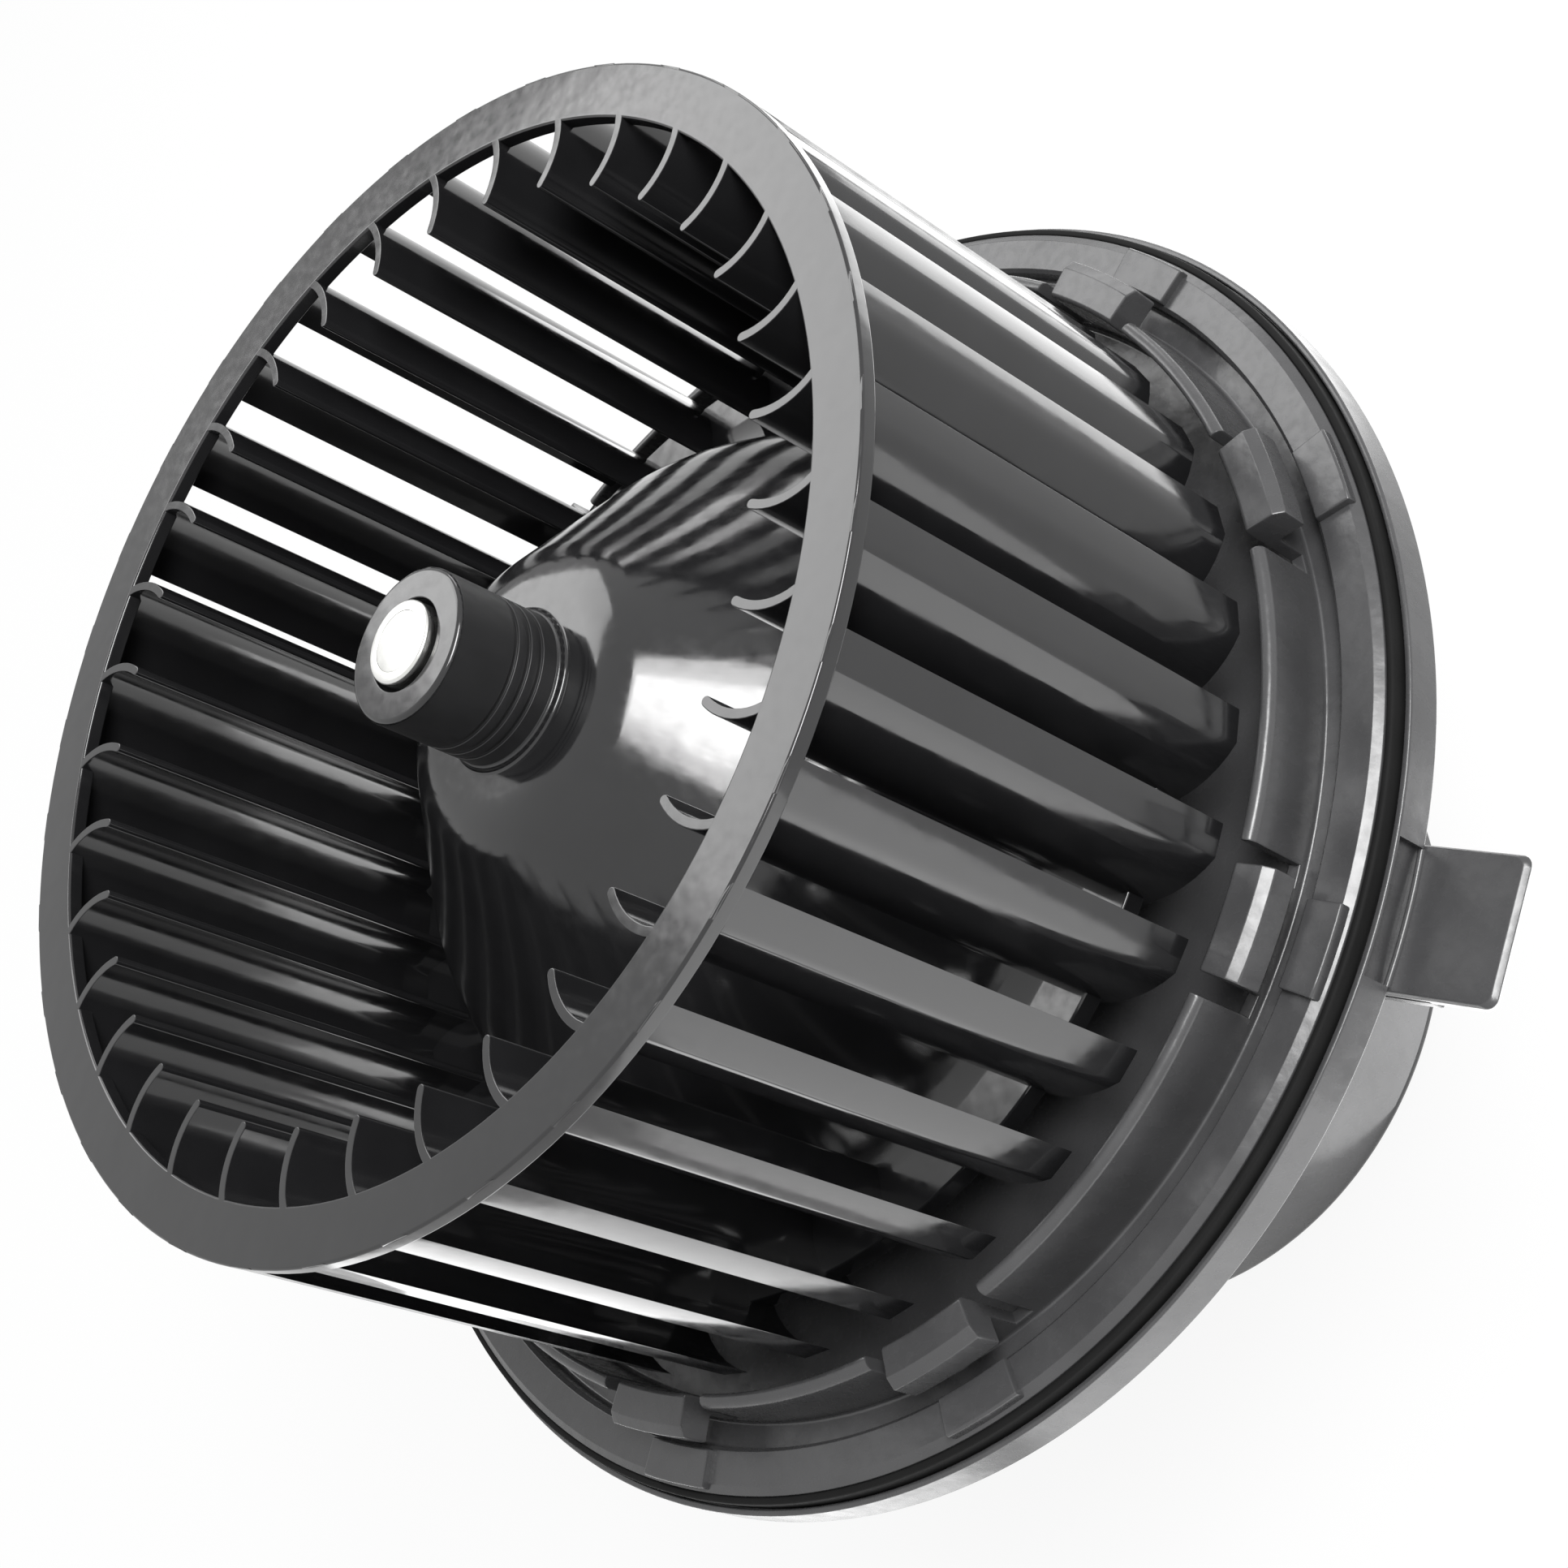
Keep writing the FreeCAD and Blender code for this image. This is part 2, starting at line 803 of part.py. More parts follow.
def cover_screws():
    screws = []
    for angle in post_angles:
        screw = lathe([
            (0, cup_rear),
            (screw_head_radius, cup_rear, screw_head_chamfer),
            (screw_head_radius, cup_rear + screw_head_height),
            (screw_radius, cup_rear + screw_head_height),
            (screw_radius, cup_rear + screw_length - screw_radius),
            (0, cup_rear + screw_length),
        ])
        screw.translate(Vector(post_circle, 0, 0))
        screws.append(turned(screw, angle))
    return Part.makeCompound(screws)


# Motor can and what is fixed in it

def bolt_holes(bottom, top):
    hole = cylinder(bolt_radius + bolt_hole_gap, bottom, top)
    hole.translate(Vector(bolt_circle, 0, 0))
    return [turned(hole, angle) for angle in bolt_angles]


def motor_can():
    shaft_hole = shaft_radius + shaft_hole_gap
    boss_end = can_top + bearing_boss_height
    shell = lathe([
        (shaft_hole, boss_end),
        (bearing_boss_radius, boss_end, bearing_boss_wall),
        (bearing_boss_radius, can_top),
        (can_radius, can_top, can_corner),
        (can_radius, can_bottom),
        (can_inner, can_bottom),
        (can_inner, can_roof, can_corner - can_wall),
        (pocket_radius, can_roof),
        (pocket_radius, front_pocket_end),
        (shaft_hole, front_pocket_end),
    ], rounded=True)
    vent = block(can_vent_inner, can_vent_outer, -can_vent_width / 2, can_vent_width / 2,
                 can_roof, can_top)
    vents = repeated(vent, can_vent_count)
    return shell.cut(vents + bolt_holes(can_roof, can_top))


def magnet(centre):
    bottom = (core_top + core_bottom - magnet_length) / 2
    return sector([
        (magnet_inner, bottom),
        (magnet_outer, bottom),
        (magnet_outer, bottom + magnet_length),
        (magnet_inner, bottom + magnet_length),
    ], magnet_span, centre)


def magnet_clips():
    bottom = (core_top + core_bottom - clip_length) / 2
    clips = []
    for centre in clip_angles:
        clips.append(sector([
            (magnet_outer - clip_thickness, bottom),
            (magnet_outer, bottom),
            (magnet_outer, bottom + clip_length),
            (magnet_outer - clip_thickness, bottom + clip_length),
        ], clip_span, centre))
    return Part.makeCompound(clips)


def end_plate():
    boss_end = end_plate_bottom - bearing_boss_height
    plate = lathe([
        (pocket_radius, can_bottom),
        (can_radius, can_bottom),
        (can_radius, end_plate_bottom, end_plate_thickness / 2),
        (bearing_boss_radius, end_plate_bottom),
        (bearing_boss_radius, boss_end, bearing_boss_wall / 2),
        (0, boss_end),
        (0, rear_pocket_end),
        (pocket_radius, rear_pocket_end),
    ])
    return plate.cut(bolt_holes(end_plate_bottom, can_bottom))


def through_bolts():
    bolts = []
    for angle in bolt_angles:
        bolt = lathe([
            (0, end_plate_bottom - bolt_head_height),
            (bolt_head_radius, end_plate_bottom - bolt_head_height, bolt_head_chamfer),
            (bolt_head_radius, end_plate_bottom),
            (bolt_radius, end_plate_bottom),
            (bolt_radius, can_top),
            (0, can_top),
        ])
        bolt.translate(Vector(bolt_circle, 0, 0))
        bolts.append(turned(bolt, angle))
    return Part.makeCompound(bolts)


def bush(bottom, top):
    centre = Vector(0, 0, (bottom + top) / 2)
    ball = Part.makeSphere(bush_ball_radius, centre)
    barrel = ball.common(cylinder(bush_ball_radius, bottom, top))
    return barrel.cut(cylinder(shaft_radius + bush_fit, bottom, top))


def bearing_retainer(bottom, bush_middle):
    top = bottom + retainer_thickness
    near = min(abs(bottom - bush_middle), abs(top - bush_middle))
    hole = math.sqrt(bush_ball_radius ** 2 - near ** 2) + retainer_gap
    plate = ring(hole, retainer_radius, bottom, top)
    slot = block(0, (hole + retainer_radius) / 2, -retainer_slot_width / 2, retainer_slot_width / 2,
                 bottom, top)
    return plate.cut(repeated(slot, retainer_slot_count))


def front_bearing_retainer():
    middle = (front_bush_top + front_bush_bottom) / 2
    return bearing_retainer(can_roof - retainer_thickness, middle)


def rear_bearing_retainer():
    middle = (rear_bush_top + rear_bush_bottom) / 2
    return bearing_retainer(can_bottom, middle)


def felt_ring(bottom):
    hole = shaft_radius + shaft_hole_gap
    return ring(hole, pocket_radius - felt_fit, bottom, bottom + felt_thickness)


# Brush gear

def brush_carrier():
    hole = commutator_radius + carrier_hole_gap
    plate = ring(hole, carrier_radius, carrier_top - carrier_thickness, carrier_top)
    rim = ring(carrier_radius - carrier_rim_wall, carrier_radius, can_bottom, carrier_top)
    body = plate.fuse(rim)
    return body.cut(bolt_holes(can_bottom, carrier_top)).removeSplitter()


def brush_box(side):
    half_width = brush_width / 2 + brush_fit
    inner_top = brush_floor + brush_height + brush_fit
    outer = block(box_inner_start, box_back + box_wall, -half_width - box_wall, half_width + box_wall,
                  carrier_top, inner_top + box_wall)
    inside = block(box_inner_start, box_back, -half_width, half_width, carrier_top + box_wall, inner_top)
    return turned(outer.cut(inside), side)


def brush(side):
    carbon = block(commutator_radius - cut_margin, brush_end, -brush_width / 2, brush_width / 2,
                   brush_floor, brush_floor + brush_height)
    carbon = carbon.cut(cylinder(brush_start, brush_floor, brush_floor + brush_height))
    return turned(carbon, side)


def brush_spring(side):
    length = box_back - brush_end - 2 * spring_seat_gap - spring_wire
    pitch = length / spring_turns
    helix = Part.makeHelix(pitch, length, spring_radius)
    half = spring_wire / 2
    start = Vector(spring_radius, 0, 0)
    corners = ((-half, -half), (half, -half), (half, half), (-half, half), (-half, -half))
    profile = Part.makePolygon([start + Vector(x, 0, z) for x, z in corners])
    coil = Part.Wire(helix.Edges).makePipeShell([profile], True, True)
    coil.rotate(ORIGIN, Vector(0, 1, 0), 90)
    coil.translate(Vector(brush_end + spring_seat_gap + half, 0, brush_floor + brush_height / 2))
    return turned(coil, side)


def choke(angle):
    bottom = carrier_top
    top = core_bottom - coil_head_height - choke_top_gap
    body = lathe([
        (0, bottom),
        (choke_core_radius, bottom),
        (choke_core_radius, bottom + choke_lead),
        (choke_radius, bottom + choke_lead, choke_chamfer),
        (choke_radius, top, choke_chamfer),
        (0, top),
    ])
    body.translate(Vector(choke_circle, 0, 0))
    return turned(body, angle)


# Rubber isolators

def front_isolator():
    lip = front_rubber_lip
    return lathe([
        (can_radius, -plate_thickness - lip),
        (front_collar_inner + lip, -plate_thickness - lip),
        (front_collar_inner + lip, -plate_thickness),
        (front_collar_inner, -plate_thickness),
        (front_collar_inner, collar_rise),
        (front_collar_inner + lip, collar_rise),
        (front_collar_inner + lip, collar_rise + lip, rubber_chamfer),
        (can_radius, collar_rise + lip, rubber_chamfer),
    ])


def rear_isolator():
    top = end_plate_bottom + rear_rubber_height
    slope = cup_draft / (-plate_thickness - cup_rear)
    outer_low = cup_inner_rear + slope * (rear_rubber_bottom - cup_rear)
    outer_high = cup_inner_rear + slope * (top - cup_rear)
    foot = lathe([
        (can_radius - rear_rubber_foot_width, rear_rubber_bottom),
        (outer_low, rear_rubber_bottom),
        (outer_high, top),
        (can_radius, top),
        (can_radius, end_plate_bottom),
        (can_radius - rear_rubber_foot_width, end_plate_bottom),
    ])
    relief = cylinder(bolt_head_radius + bolt_relief, rear_rubber_bottom, end_plate_bottom)
    relief.translate(Vector(bolt_circle, 0, 0))
    return foot.cut([turned(relief, angle) for angle in bolt_angles])


parts = {
    "blower_wheel": blower_wheel(),
    "hub_sleeve": hub_sleeve(),
    "motor_shaft": motor_shaft(),
    "armature_core": armature_core(),
    "armature_windings": armature_windings(),
    "commutator": commutator(),
    "commutator_hub": commutator_hub(),
    "front_thrust_washer": front_thrust_washer(),
    "rear_thrust_washer": rear_thrust_washer(),
    "mounting_housing": mounting_housing(),
    "flange_seal": flange_seal(),
    "rear_cover": rear_cover(),
    "cover_screws": cover_screws(),
    "terminal_left": terminal_blanks()[0],
    "terminal_right": terminal_blanks()[1],
    "motor_can": motor_can(),
    "magnet_left": magnet(180.0),
    "magnet_right": magnet(0.0),
    "magnet_clips": magnet_clips(),
    "end_plate": end_plate(),
    "through_bolts": through_bolts(),
    "front_bearing": bush(front_bush_bottom, front_bush_top),
    "rear_bearing": bush(rear_bush_bottom, rear_bush_top),
    "front_bearing_retainer": front_bearing_retainer(),
    "rear_bearing_retainer": rear_bearing_retainer(),
    "front_felt_ring": felt_ring(front_bush_top),
    "rear_felt_ring": felt_ring(rear_pocket_end),
    "brush_carrier": brush_carrier(),
    "brush_box_left": brush_box(180.0),
    "brush_box_right": brush_box(0.0),
    "brush_left": brush(180.0),
    "brush_right": brush(0.0),
    "brush_spring_left": brush_spring(180.0),
    "brush_spring_right": brush_spring(0.0),
    "choke_left": choke(125.0),
    "choke_right": choke(305.0),
    "front_isolator": front_isolator(),
    "rear_isolator": rear_isolator(),
}

os.makedirs("parts", exist_ok=True)
for name, shape in parts.items():
    shape.exportStep(os.path.join("parts", name + ".step"))
print("parts written:", len(parts))
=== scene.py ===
import math

import bmesh
import bpy
from mathutils import Matrix, Vector


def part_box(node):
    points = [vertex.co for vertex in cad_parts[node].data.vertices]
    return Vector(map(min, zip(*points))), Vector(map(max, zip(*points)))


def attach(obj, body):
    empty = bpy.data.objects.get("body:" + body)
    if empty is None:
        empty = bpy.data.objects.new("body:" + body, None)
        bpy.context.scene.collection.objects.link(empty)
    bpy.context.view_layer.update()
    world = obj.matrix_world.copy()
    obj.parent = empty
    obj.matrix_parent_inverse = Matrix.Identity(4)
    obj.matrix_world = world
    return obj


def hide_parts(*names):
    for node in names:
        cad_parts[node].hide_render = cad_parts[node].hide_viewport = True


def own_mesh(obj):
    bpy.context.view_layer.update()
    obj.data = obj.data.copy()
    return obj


# Car air conditioner blower: its visible mouldings and metal parts, the finish of every
# part, the light and the camera, round the fixed model. Sizes are in millimetres and
# become metres where a mesh is made, and angles are in degrees. The shaft axis is Z, the
# open end of the wheel points up and the side tab points to +X.

bl_info = {
    "name": "Car air conditioner blower",
    "version": (1, 0, 0),
    "blender": (4, 5, 0),
    "location": "View3D > Sidebar > Blower",
    "description": "Makes the mouldings, metal parts and stage of a car air conditioner blower",
    "category": "Object",
}

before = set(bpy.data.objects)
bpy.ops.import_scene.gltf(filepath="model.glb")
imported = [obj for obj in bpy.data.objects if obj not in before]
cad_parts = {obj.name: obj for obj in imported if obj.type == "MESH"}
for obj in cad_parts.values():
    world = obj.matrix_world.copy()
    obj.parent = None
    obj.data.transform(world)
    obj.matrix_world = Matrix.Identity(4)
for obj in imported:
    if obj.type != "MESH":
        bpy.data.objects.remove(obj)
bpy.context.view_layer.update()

mm = 0.001
UP = Vector((0, 0, 1))


# Lowest and highest corner of a model node in millimetres
def frame_box(node):
    low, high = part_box(node)
    return low / mm, high / mm


# Sizes taken from the frame
wheel_low, wheel_high = frame_box("blower_wheel")
sleeve_low, sleeve_high = frame_box("hub_sleeve")
shaft_low, shaft_high = frame_box("motor_shaft")
seal_low, seal_high = frame_box("flange_seal")
housing_low, housing_high = frame_box("mounting_housing")
spring_low, spring_high = frame_box("brush_spring_right")

rim_radius = wheel_high.x
wheel_top = wheel_high.z
wheel_bottom = wheel_low.z
sleeve_radius = sleeve_high.x
sleeve_top = sleeve_high.z
tube_bottom = sleeve_low.z
shaft_radius = shaft_high.x
shaft_bottom = shaft_low.z
can_radius = frame_box("motor_can")[1].x
seal_outer = seal_high.x
flange_radius = housing_high.y
tab_tip = housing_high.x
wall_top = housing_high.z
cup_rear = housing_low.z

# Roundings that many edges of the mouldings share
fine_round = 0.15
small_round = 0.25
plain_round = 0.4
root_round = 0.6

# Wheel moulding
rim_width = 7.2
rim_thickness = 2.1
blade_sweep = 6.5
blade_bow = 0.8
blade_inner_depth = 7.8
knee_inset = 0.6
blade_swell = 0.35
base_thickness = 3.0
bell_wall = 2.0
shoulder_depth = 17.65
shoulder_radius = 14.0
shoulder_bend = 10.0
cone_heading = 46.5
cone_over_can = 0.9
bell_bend = 38.7
skirt_heading = 25.0
skirt_run = 2.64
flare_bend = 15.0
flare_heading = 85.0
boss_radius = 10.05
boss_depth = 1.43
boss_groove_depths = (10.0, 12.0, 13.9)
boss_groove_width = 0.6
boss_groove_cut = 0.35
boss_round = 0.7
groove_edge_round = 0.12
groove_floor_round = 0.05
collar_radius = 10.5
collar_height = 1.0
collar_edge_round = 0.08
collar_round = 0.45
collar_foot_round = 0.5
boss_recess_gap = 0.6
boss_recess_depth = 3.0
tube_wall = 2.8
tube_foot_round = 0.8

# Dull skin of the boss: how far it reaches from the shaft and how high, what it adds to
# the roughness, and the width over which it fades
dull_radius = boss_radius + 0.1
dull_top = wheel_top - boss_depth - 0.5
dull_gain = 0.34
dull_fade = 0.3

# Mounting housing
wall_inner = 77.0
wall_thickness = 1.8
wall_top_round = 1.15
wall_top_inner_round = 0.5
groove_width = 3.6
groove_round = 0.5
ledge_height = 2.85
ledge_chamfer = 0.8
ledge_chamfer_run = 1.15
ledge_inner_chamfer = 0.5
ledge_core_wall = 1.75
seal_thickness = 1.0
seal_gap = 0.02
seal_round = 0.45
seal_inner_round = 0.3
seal_groove_depth = 1.2
seal_groove_round = 0.1
lip_width = 0.9
lip_round = 0.35
plate_thickness = 2.4
skirt_depth = 5.6
skirt_wall = 2.1
lug_angles = (68.5, 36.4, -4.5, -50.0, -84.3, -125.7, -167.2, -208.6, -250.0)
lug_span = 9.6
lug_slot = 2.6
lug_slot_floor = 1.2
lug_reach = 3.7
lug_height = 5.0
lug_chamfer = 0.95
lug_chamfer_run = 1.35
lug_root_round = 0.5
lug_under_round = 0.35
lug_edge_round = 0.3
lug_inner_round = 0.7
pad_span = 7.4
pad_width = 5.0
pad_height = 1.1
pad_inset = 0.4
pad_round = 0.35
rib_count = 12
rib_thickness = 1.6
rib_setback = 0.8
rib_phase = 15.0
tab_width = 17.8
tab_thickness = 2.2
tab_root = 6.0
tab_corner = 1.4
tab_rib_width = 1.8
tab_rib_reach = 4.5
tab_rib_height = 2.0
tab_tip_run = 0.75
tab_side_run = 0.3
tab_tip_chamfer = 0.55
tab_tip_draft = 0.9
tab_bead = 0.45
tab_pocket_depth = 1.5
tab_pocket_margin = 0.7
tab_pocket_roof = 0.4
mouth_rise = 5.0
mouth_wall = 2.2
front_rubber = 3.5
rear_rubber = 8.9
cup_wall = 2.1
cup_draft = 2.5
cup_round = 1.6
cup_inner_round = 0.3
cup_root_round = 1.0
cup_inner_root_round = 0.8
post_count = 3
post_phase = 60.0
post_radius = 4.6
post_inset = 4.2
post_height = 10.0
post_circle = can_radius + rear_rubber - post_inset
cover_thickness = 3.0

# Cover screws
screw_radius = 1.5
screw_head_radius = 2.9
screw_head_height = 1.6
screw_head_round = 0.9
screw_rim_round = 0.1
screw_length = 10.0
recess_span = 3.2
recess_width = 0.8
recess_depth = 1.1

# Sleeve and shaft
sleeve_round = 0.4
sleeve_foot_round = 0.2
shaft_gap = 0.01

# Terminals
terminal_round = 0.15

# Brush springs
spring_wire = 0.5

# Faces round the shaft, round a turn of a spring and round its wire
wheel_steps = 204
housing_steps = 240
metal_steps = 96
screw_steps = 40
post_steps = 32
lug_steps = 6
pad_steps = 5
bead_steps = 16
spring_steps = 24
wire_steps = 8

# Steps along the curves of a section, and the angles of a half circle
corner_steps = 4
fine_corner_steps = 6
blade_inner_steps = 8
blade_outer_steps = 6
shoulder_steps = 8
bell_steps = 10
flare_steps = 16
half_round = [math.pi * step / 6 for step in range(7)]

# Angles from which an edge is rounded or drawn sharp, angle below which faces count as
# flat, and distance at which points merge
drawn_sharp = 38.0
edge_sharp = 50.0
blade_sharp = 40.0
wall_sharp = 60.0
tab_sharp = 25.0
copy_sharp = 40.0
flat_limit = 0.5
merge_distance = 0.002

# Patterns in the skin of the mouldings: the size of their features, and the roughness
# that they take away and add
cloud_size = 9.0
hollow_size = 7.0
streak_size = 1.6
polish_gain = 0.03
polish_loss = 0.06

# What the bloom adds to the colour of rubber
bloom_lift = 0.002

# Camera: the point that it looks at, its distance, direction and roll, and the focal
# length on a film 36 mm wide
view_target = Vector((0.75, 3.49, 12.4))
view_distance = 369.4
view_azimuth = -12.18
view_elevation = 40.25
view_roll = -65.51
view_lens = 63.63
film_width = 36.0
near_clip = 10.0

# Softboxes: name, azimuth, elevation, distance, width, height and radiance
softboxes = (
    ("overhead_softbox", 20, 50, 800, 600, 300, 11.5),
    ("overhead_core", 20, 50, 790, 360, 180, 9.0),
    ("far_softbox", 147, 45, 800, 520, 340, 3.7),
    ("side_softbox", 112, 14, 800, 300, 220, 2.5),
)

# Cards that lie just over the floor and light the sides from below: name, x, y, width,
# height and radiance
cards = (
    ("front_card", 170, -125, 240, 170, 1.6),
    ("low_card", -60, -170, 180, 100, 2.3),
    ("side_card", 88, -40, 80, 180, 2.3),
    ("back_card", -28, 190, 224, 130, 2.8),
)
card_lift = 2.0

# Floor and world
world_light = 0.4
floor_tone = 0.85
floor_glow = 0.9
floor_reach = 12000.0


# Settings that a user would change

class BlowerSizes(bpy.types.PropertyGroup):
    blade_count: bpy.props.IntProperty(
        name="Blades", description="Number of blades round the wheel", default=34, min=3)
    blade_phase: bpy.props.FloatProperty(
        name="First blade", description="Angle of the first blade round the shaft",
        default=math.radians(6.1), subtype="ANGLE")
    blade_thickness: bpy.props.FloatProperty(
        name="Blade thickness", description="Thickness of one blade",
        default=1.2 * mm, unit="LENGTH")
    blade_edge: bpy.props.FloatProperty(
        name="Blade edge", description="Radius of the edges of each blade",
        default=0.14 * mm, unit="LENGTH")
    edge_round: bpy.props.FloatProperty(
        name="Moulded edge", description="Radius of the edges of the mouldings",
        default=0.28 * mm, unit="LENGTH")
    rim_round: bpy.props.FloatProperty(
        name="Rim edge", description="Radius of the edges of the rim ring",
        default=0.38 * mm, unit="LENGTH")
    spring_turns: bpy.props.IntProperty(
        name="Spring turns", description="Turns of each brush spring", default=4, min=2)


def sizes():
    return bpy.context.scene.blower_sizes


# One function turns a written colour to the linear one that the nodes take
def linear(code):
    channels = []
    for start in (0, 2, 4):
        value = int(code[start:start + 2], 16) / 255
        channels.append(value / 12.92 if value <= 0.04045 else ((value + 0.055) / 1.055) ** 2.4)
    return channels


class BlowerColours(bpy.types.PropertyGroup):
    wheel: bpy.props.FloatVectorProperty(
        name="Wheel", description="Colour of the blower wheel", subtype="COLOR",
        default=linear("1c1c1d"))
    housing: bpy.props.FloatVectorProperty(
        name="Housing", description="Colour of the mounting housing and rear cover", subtype="COLOR",
        default=linear("404041"))
    seal: bpy.props.FloatVectorProperty(
        name="Seal", description="Colour of the flange seal", subtype="COLOR",
        default=linear("0c0c0c"))


# Nodes

# Adds one node with its settings, and sets or links its inputs
def add_node(tree, kind, settings=None, inputs=None):
    node = tree.nodes.new(kind)
    for key, value in (settings or {}).items():
        setattr(node, key, value)
    for key, value in (inputs or {}).items():
        if isinstance(value, bpy.types.NodeSocket):
            tree.links.new(value, node.inputs[key])
        else:
            node.inputs[key].default_value = value
    return node


# Emptied node tree of a new material or world
def empty_tree(owner):
    owner.use_nodes = True
    owner.node_tree.nodes.clear()
    return owner.node_tree


# New material, its node tree and the place of the surface on the object
def new_material(name):
    material = bpy.data.materials.new(name)
    tree = empty_tree(material)
    return material, tree, add_node(tree, "ShaderNodeTexCoord").outputs["Object"]


# Material whose pattern mixes two tones, under a skin with the given relief and gloss
def finished(material, pattern, dark, pale, relief, gloss):
    tree = material.node_tree
    tint = add_node(tree, "ShaderNodeMix", {"data_type": "RGBA"}, {
        0: pattern.outputs["Fac"], 6: dark, 7: pale})
    skin = add_node(tree, "ShaderNodeBump", inputs=relief)
    shader = add_node(tree, "ShaderNodeBsdfPrincipled", inputs={
        "Base Color": tint.outputs[2], "Normal": skin.outputs["Normal"], **gloss})
    add_node(tree, "ShaderNodeOutputMaterial", inputs={"Surface": shader.outputs["BSDF"]})
    return material


# A colour made darker or paler by a factor, with its alpha
def tone(colour, factor=1.0):
    return [min(channel * factor, 1.0) for channel in colour] + [1.0]


# Scale of a pattern whose features have a real size in millimetres
def scale_of(size):
    return 1 / (size * mm)


# Distance of the surface from the shaft axis
def radius_from_shaft(tree, place):
    across = add_node(tree, "ShaderNodeVectorMath", {"operation": "MULTIPLY"}, {
        0: place, 1: (1, 1, 0)})
    return add_node(tree, "ShaderNodeVectorMath", {"operation": "LENGTH"}, {
        0: across.outputs[0]}).outputs["Value"]


# Glass-filled plastic from a polished mould: nearly black under a bright, resin-rich
# skin, with slow hollows from shrinkage and streaks along the draw of the mould. The mould
# of the boss is left unpolished, so the skin is dull there.
def moulded_plastic(name, colour, roughness, ior, draw, hollow=0.2, streak=0.03, dull_boss=False):
    material, tree, place = new_material(name)
    drawn = add_node(tree, "ShaderNodeMapping", inputs={"Vector": place, "Scale": draw}).outputs[0]
    clouds = add_node(tree, "ShaderNodeTexNoise", inputs={
        "Vector": place, "Scale": scale_of(cloud_size)})
    hollows = add_node(tree, "ShaderNodeTexNoise", inputs={
        "Vector": drawn, "Scale": scale_of(hollow_size)})
    streaks = add_node(tree, "ShaderNodeTexNoise", inputs={
        "Vector": drawn, "Scale": scale_of(streak_size), "Detail": 3.0})
    rough = add_node(tree, "ShaderNodeMapRange", inputs={
        "Value": streaks.outputs["Fac"], "From Min": 0.3, "From Max": 0.7,
        "To Min": roughness - polish_gain, "To Max": roughness + polish_loss})
    if dull_boss:
        near = add_node(tree, "ShaderNodeMapRange", inputs={
            "Value": radius_from_shaft(tree, place), "From Min": dull_radius * mm,
            "From Max": (dull_radius + dull_fade) * mm, "To Min": dull_gain, "To Max": 0.0})
        parts = add_node(tree, "ShaderNodeSeparateXYZ", inputs={"Vector": place})
        below = add_node(tree, "ShaderNodeMapRange", inputs={
            "Value": parts.outputs["Z"], "From Min": (dull_top - dull_fade) * mm,
            "From Max": dull_top * mm, "To Min": 1.0, "To Max": 0.0})
        rough = add_node(tree, "ShaderNodeMath", {"operation": "MULTIPLY_ADD"}, {
            0: near.outputs["Result"], 1: below.outputs["Result"], 2: rough.outputs["Result"]})
    sunk = add_node(tree, "ShaderNodeBump", inputs={
        "Strength": 1.0, "Distance": hollow * mm, "Height": hollows.outputs["Fac"]})
    relief = {"Strength": 1.0, "Distance": streak * mm, "Height": streaks.outputs["Fac"],
              "Normal": sunk.outputs["Normal"]}
    return finished(material, clouds, tone(colour, 0.72), tone(colour, 1.3), relief, {
        "Roughness": rough.outputs[0], "IOR": ior})


# Moulded rubber: nearly black, dull, with a slight bloom in patches
def rubber(name, colour):
    material, tree, place = new_material(name)
    bloom = add_node(tree, "ShaderNodeTexNoise", inputs={
        "Vector": place, "Scale": scale_of(5.0), "Detail": 3.0})
    grain = add_node(tree, "ShaderNodeTexNoise", inputs={
        "Vector": place, "Scale": scale_of(0.6), "Detail": 1.0})
    pale = [channel * 1.8 + bloom_lift for channel in colour] + [1.0]
    relief = {"Strength": 0.25, "Distance": 0.08 * mm, "Height": grain.outputs["Fac"]}
    return finished(material, bloom, tone(colour), pale, relief, {
        "Roughness": 0.72, "IOR": 1.5, "Specular IOR Level": 0.15})


# Metal as it comes from the lathe, the drawing press or the plating bath: fine tool
# lines round the shaft and small clouds in the gloss
def metal(name, code, roughness, line_size=0.35, line_depth=0.1, round_lines=True):
    material, tree, place = new_material(name)
    line_place = place
    if round_lines:
        parts = add_node(tree, "ShaderNodeSeparateXYZ", inputs={"Vector": place})
        along = add_node(tree, "ShaderNodeMath", {"operation": "ADD"}, {
            0: radius_from_shaft(tree, place), 1: parts.outputs["Z"]})
        line_place = add_node(tree, "ShaderNodeCombineXYZ", inputs={"X": along.outputs[0]}).outputs[0]
    lines = add_node(tree, "ShaderNodeTexNoise", inputs={
        "Vector": line_place, "Scale": scale_of(line_size)})
    clouds = add_node(tree, "ShaderNodeTexNoise", inputs={
        "Vector": place, "Scale": scale_of(3.0), "Detail": 4.0})
    colour = linear(code)
    rough = add_node(tree, "ShaderNodeMapRange", inputs={
        "Value": clouds.outputs["Fac"], "To Min": roughness - 0.08, "To Max": roughness + 0.12})
    relief = {"Strength": line_depth, "Distance": 0.05 * mm, "Height": lines.outputs["Fac"]}
    return finished(material, clouds, tone(colour, 0.8), tone(colour), relief, {
        "Roughness": rough.outputs["Result"], "Metallic": 1.0})


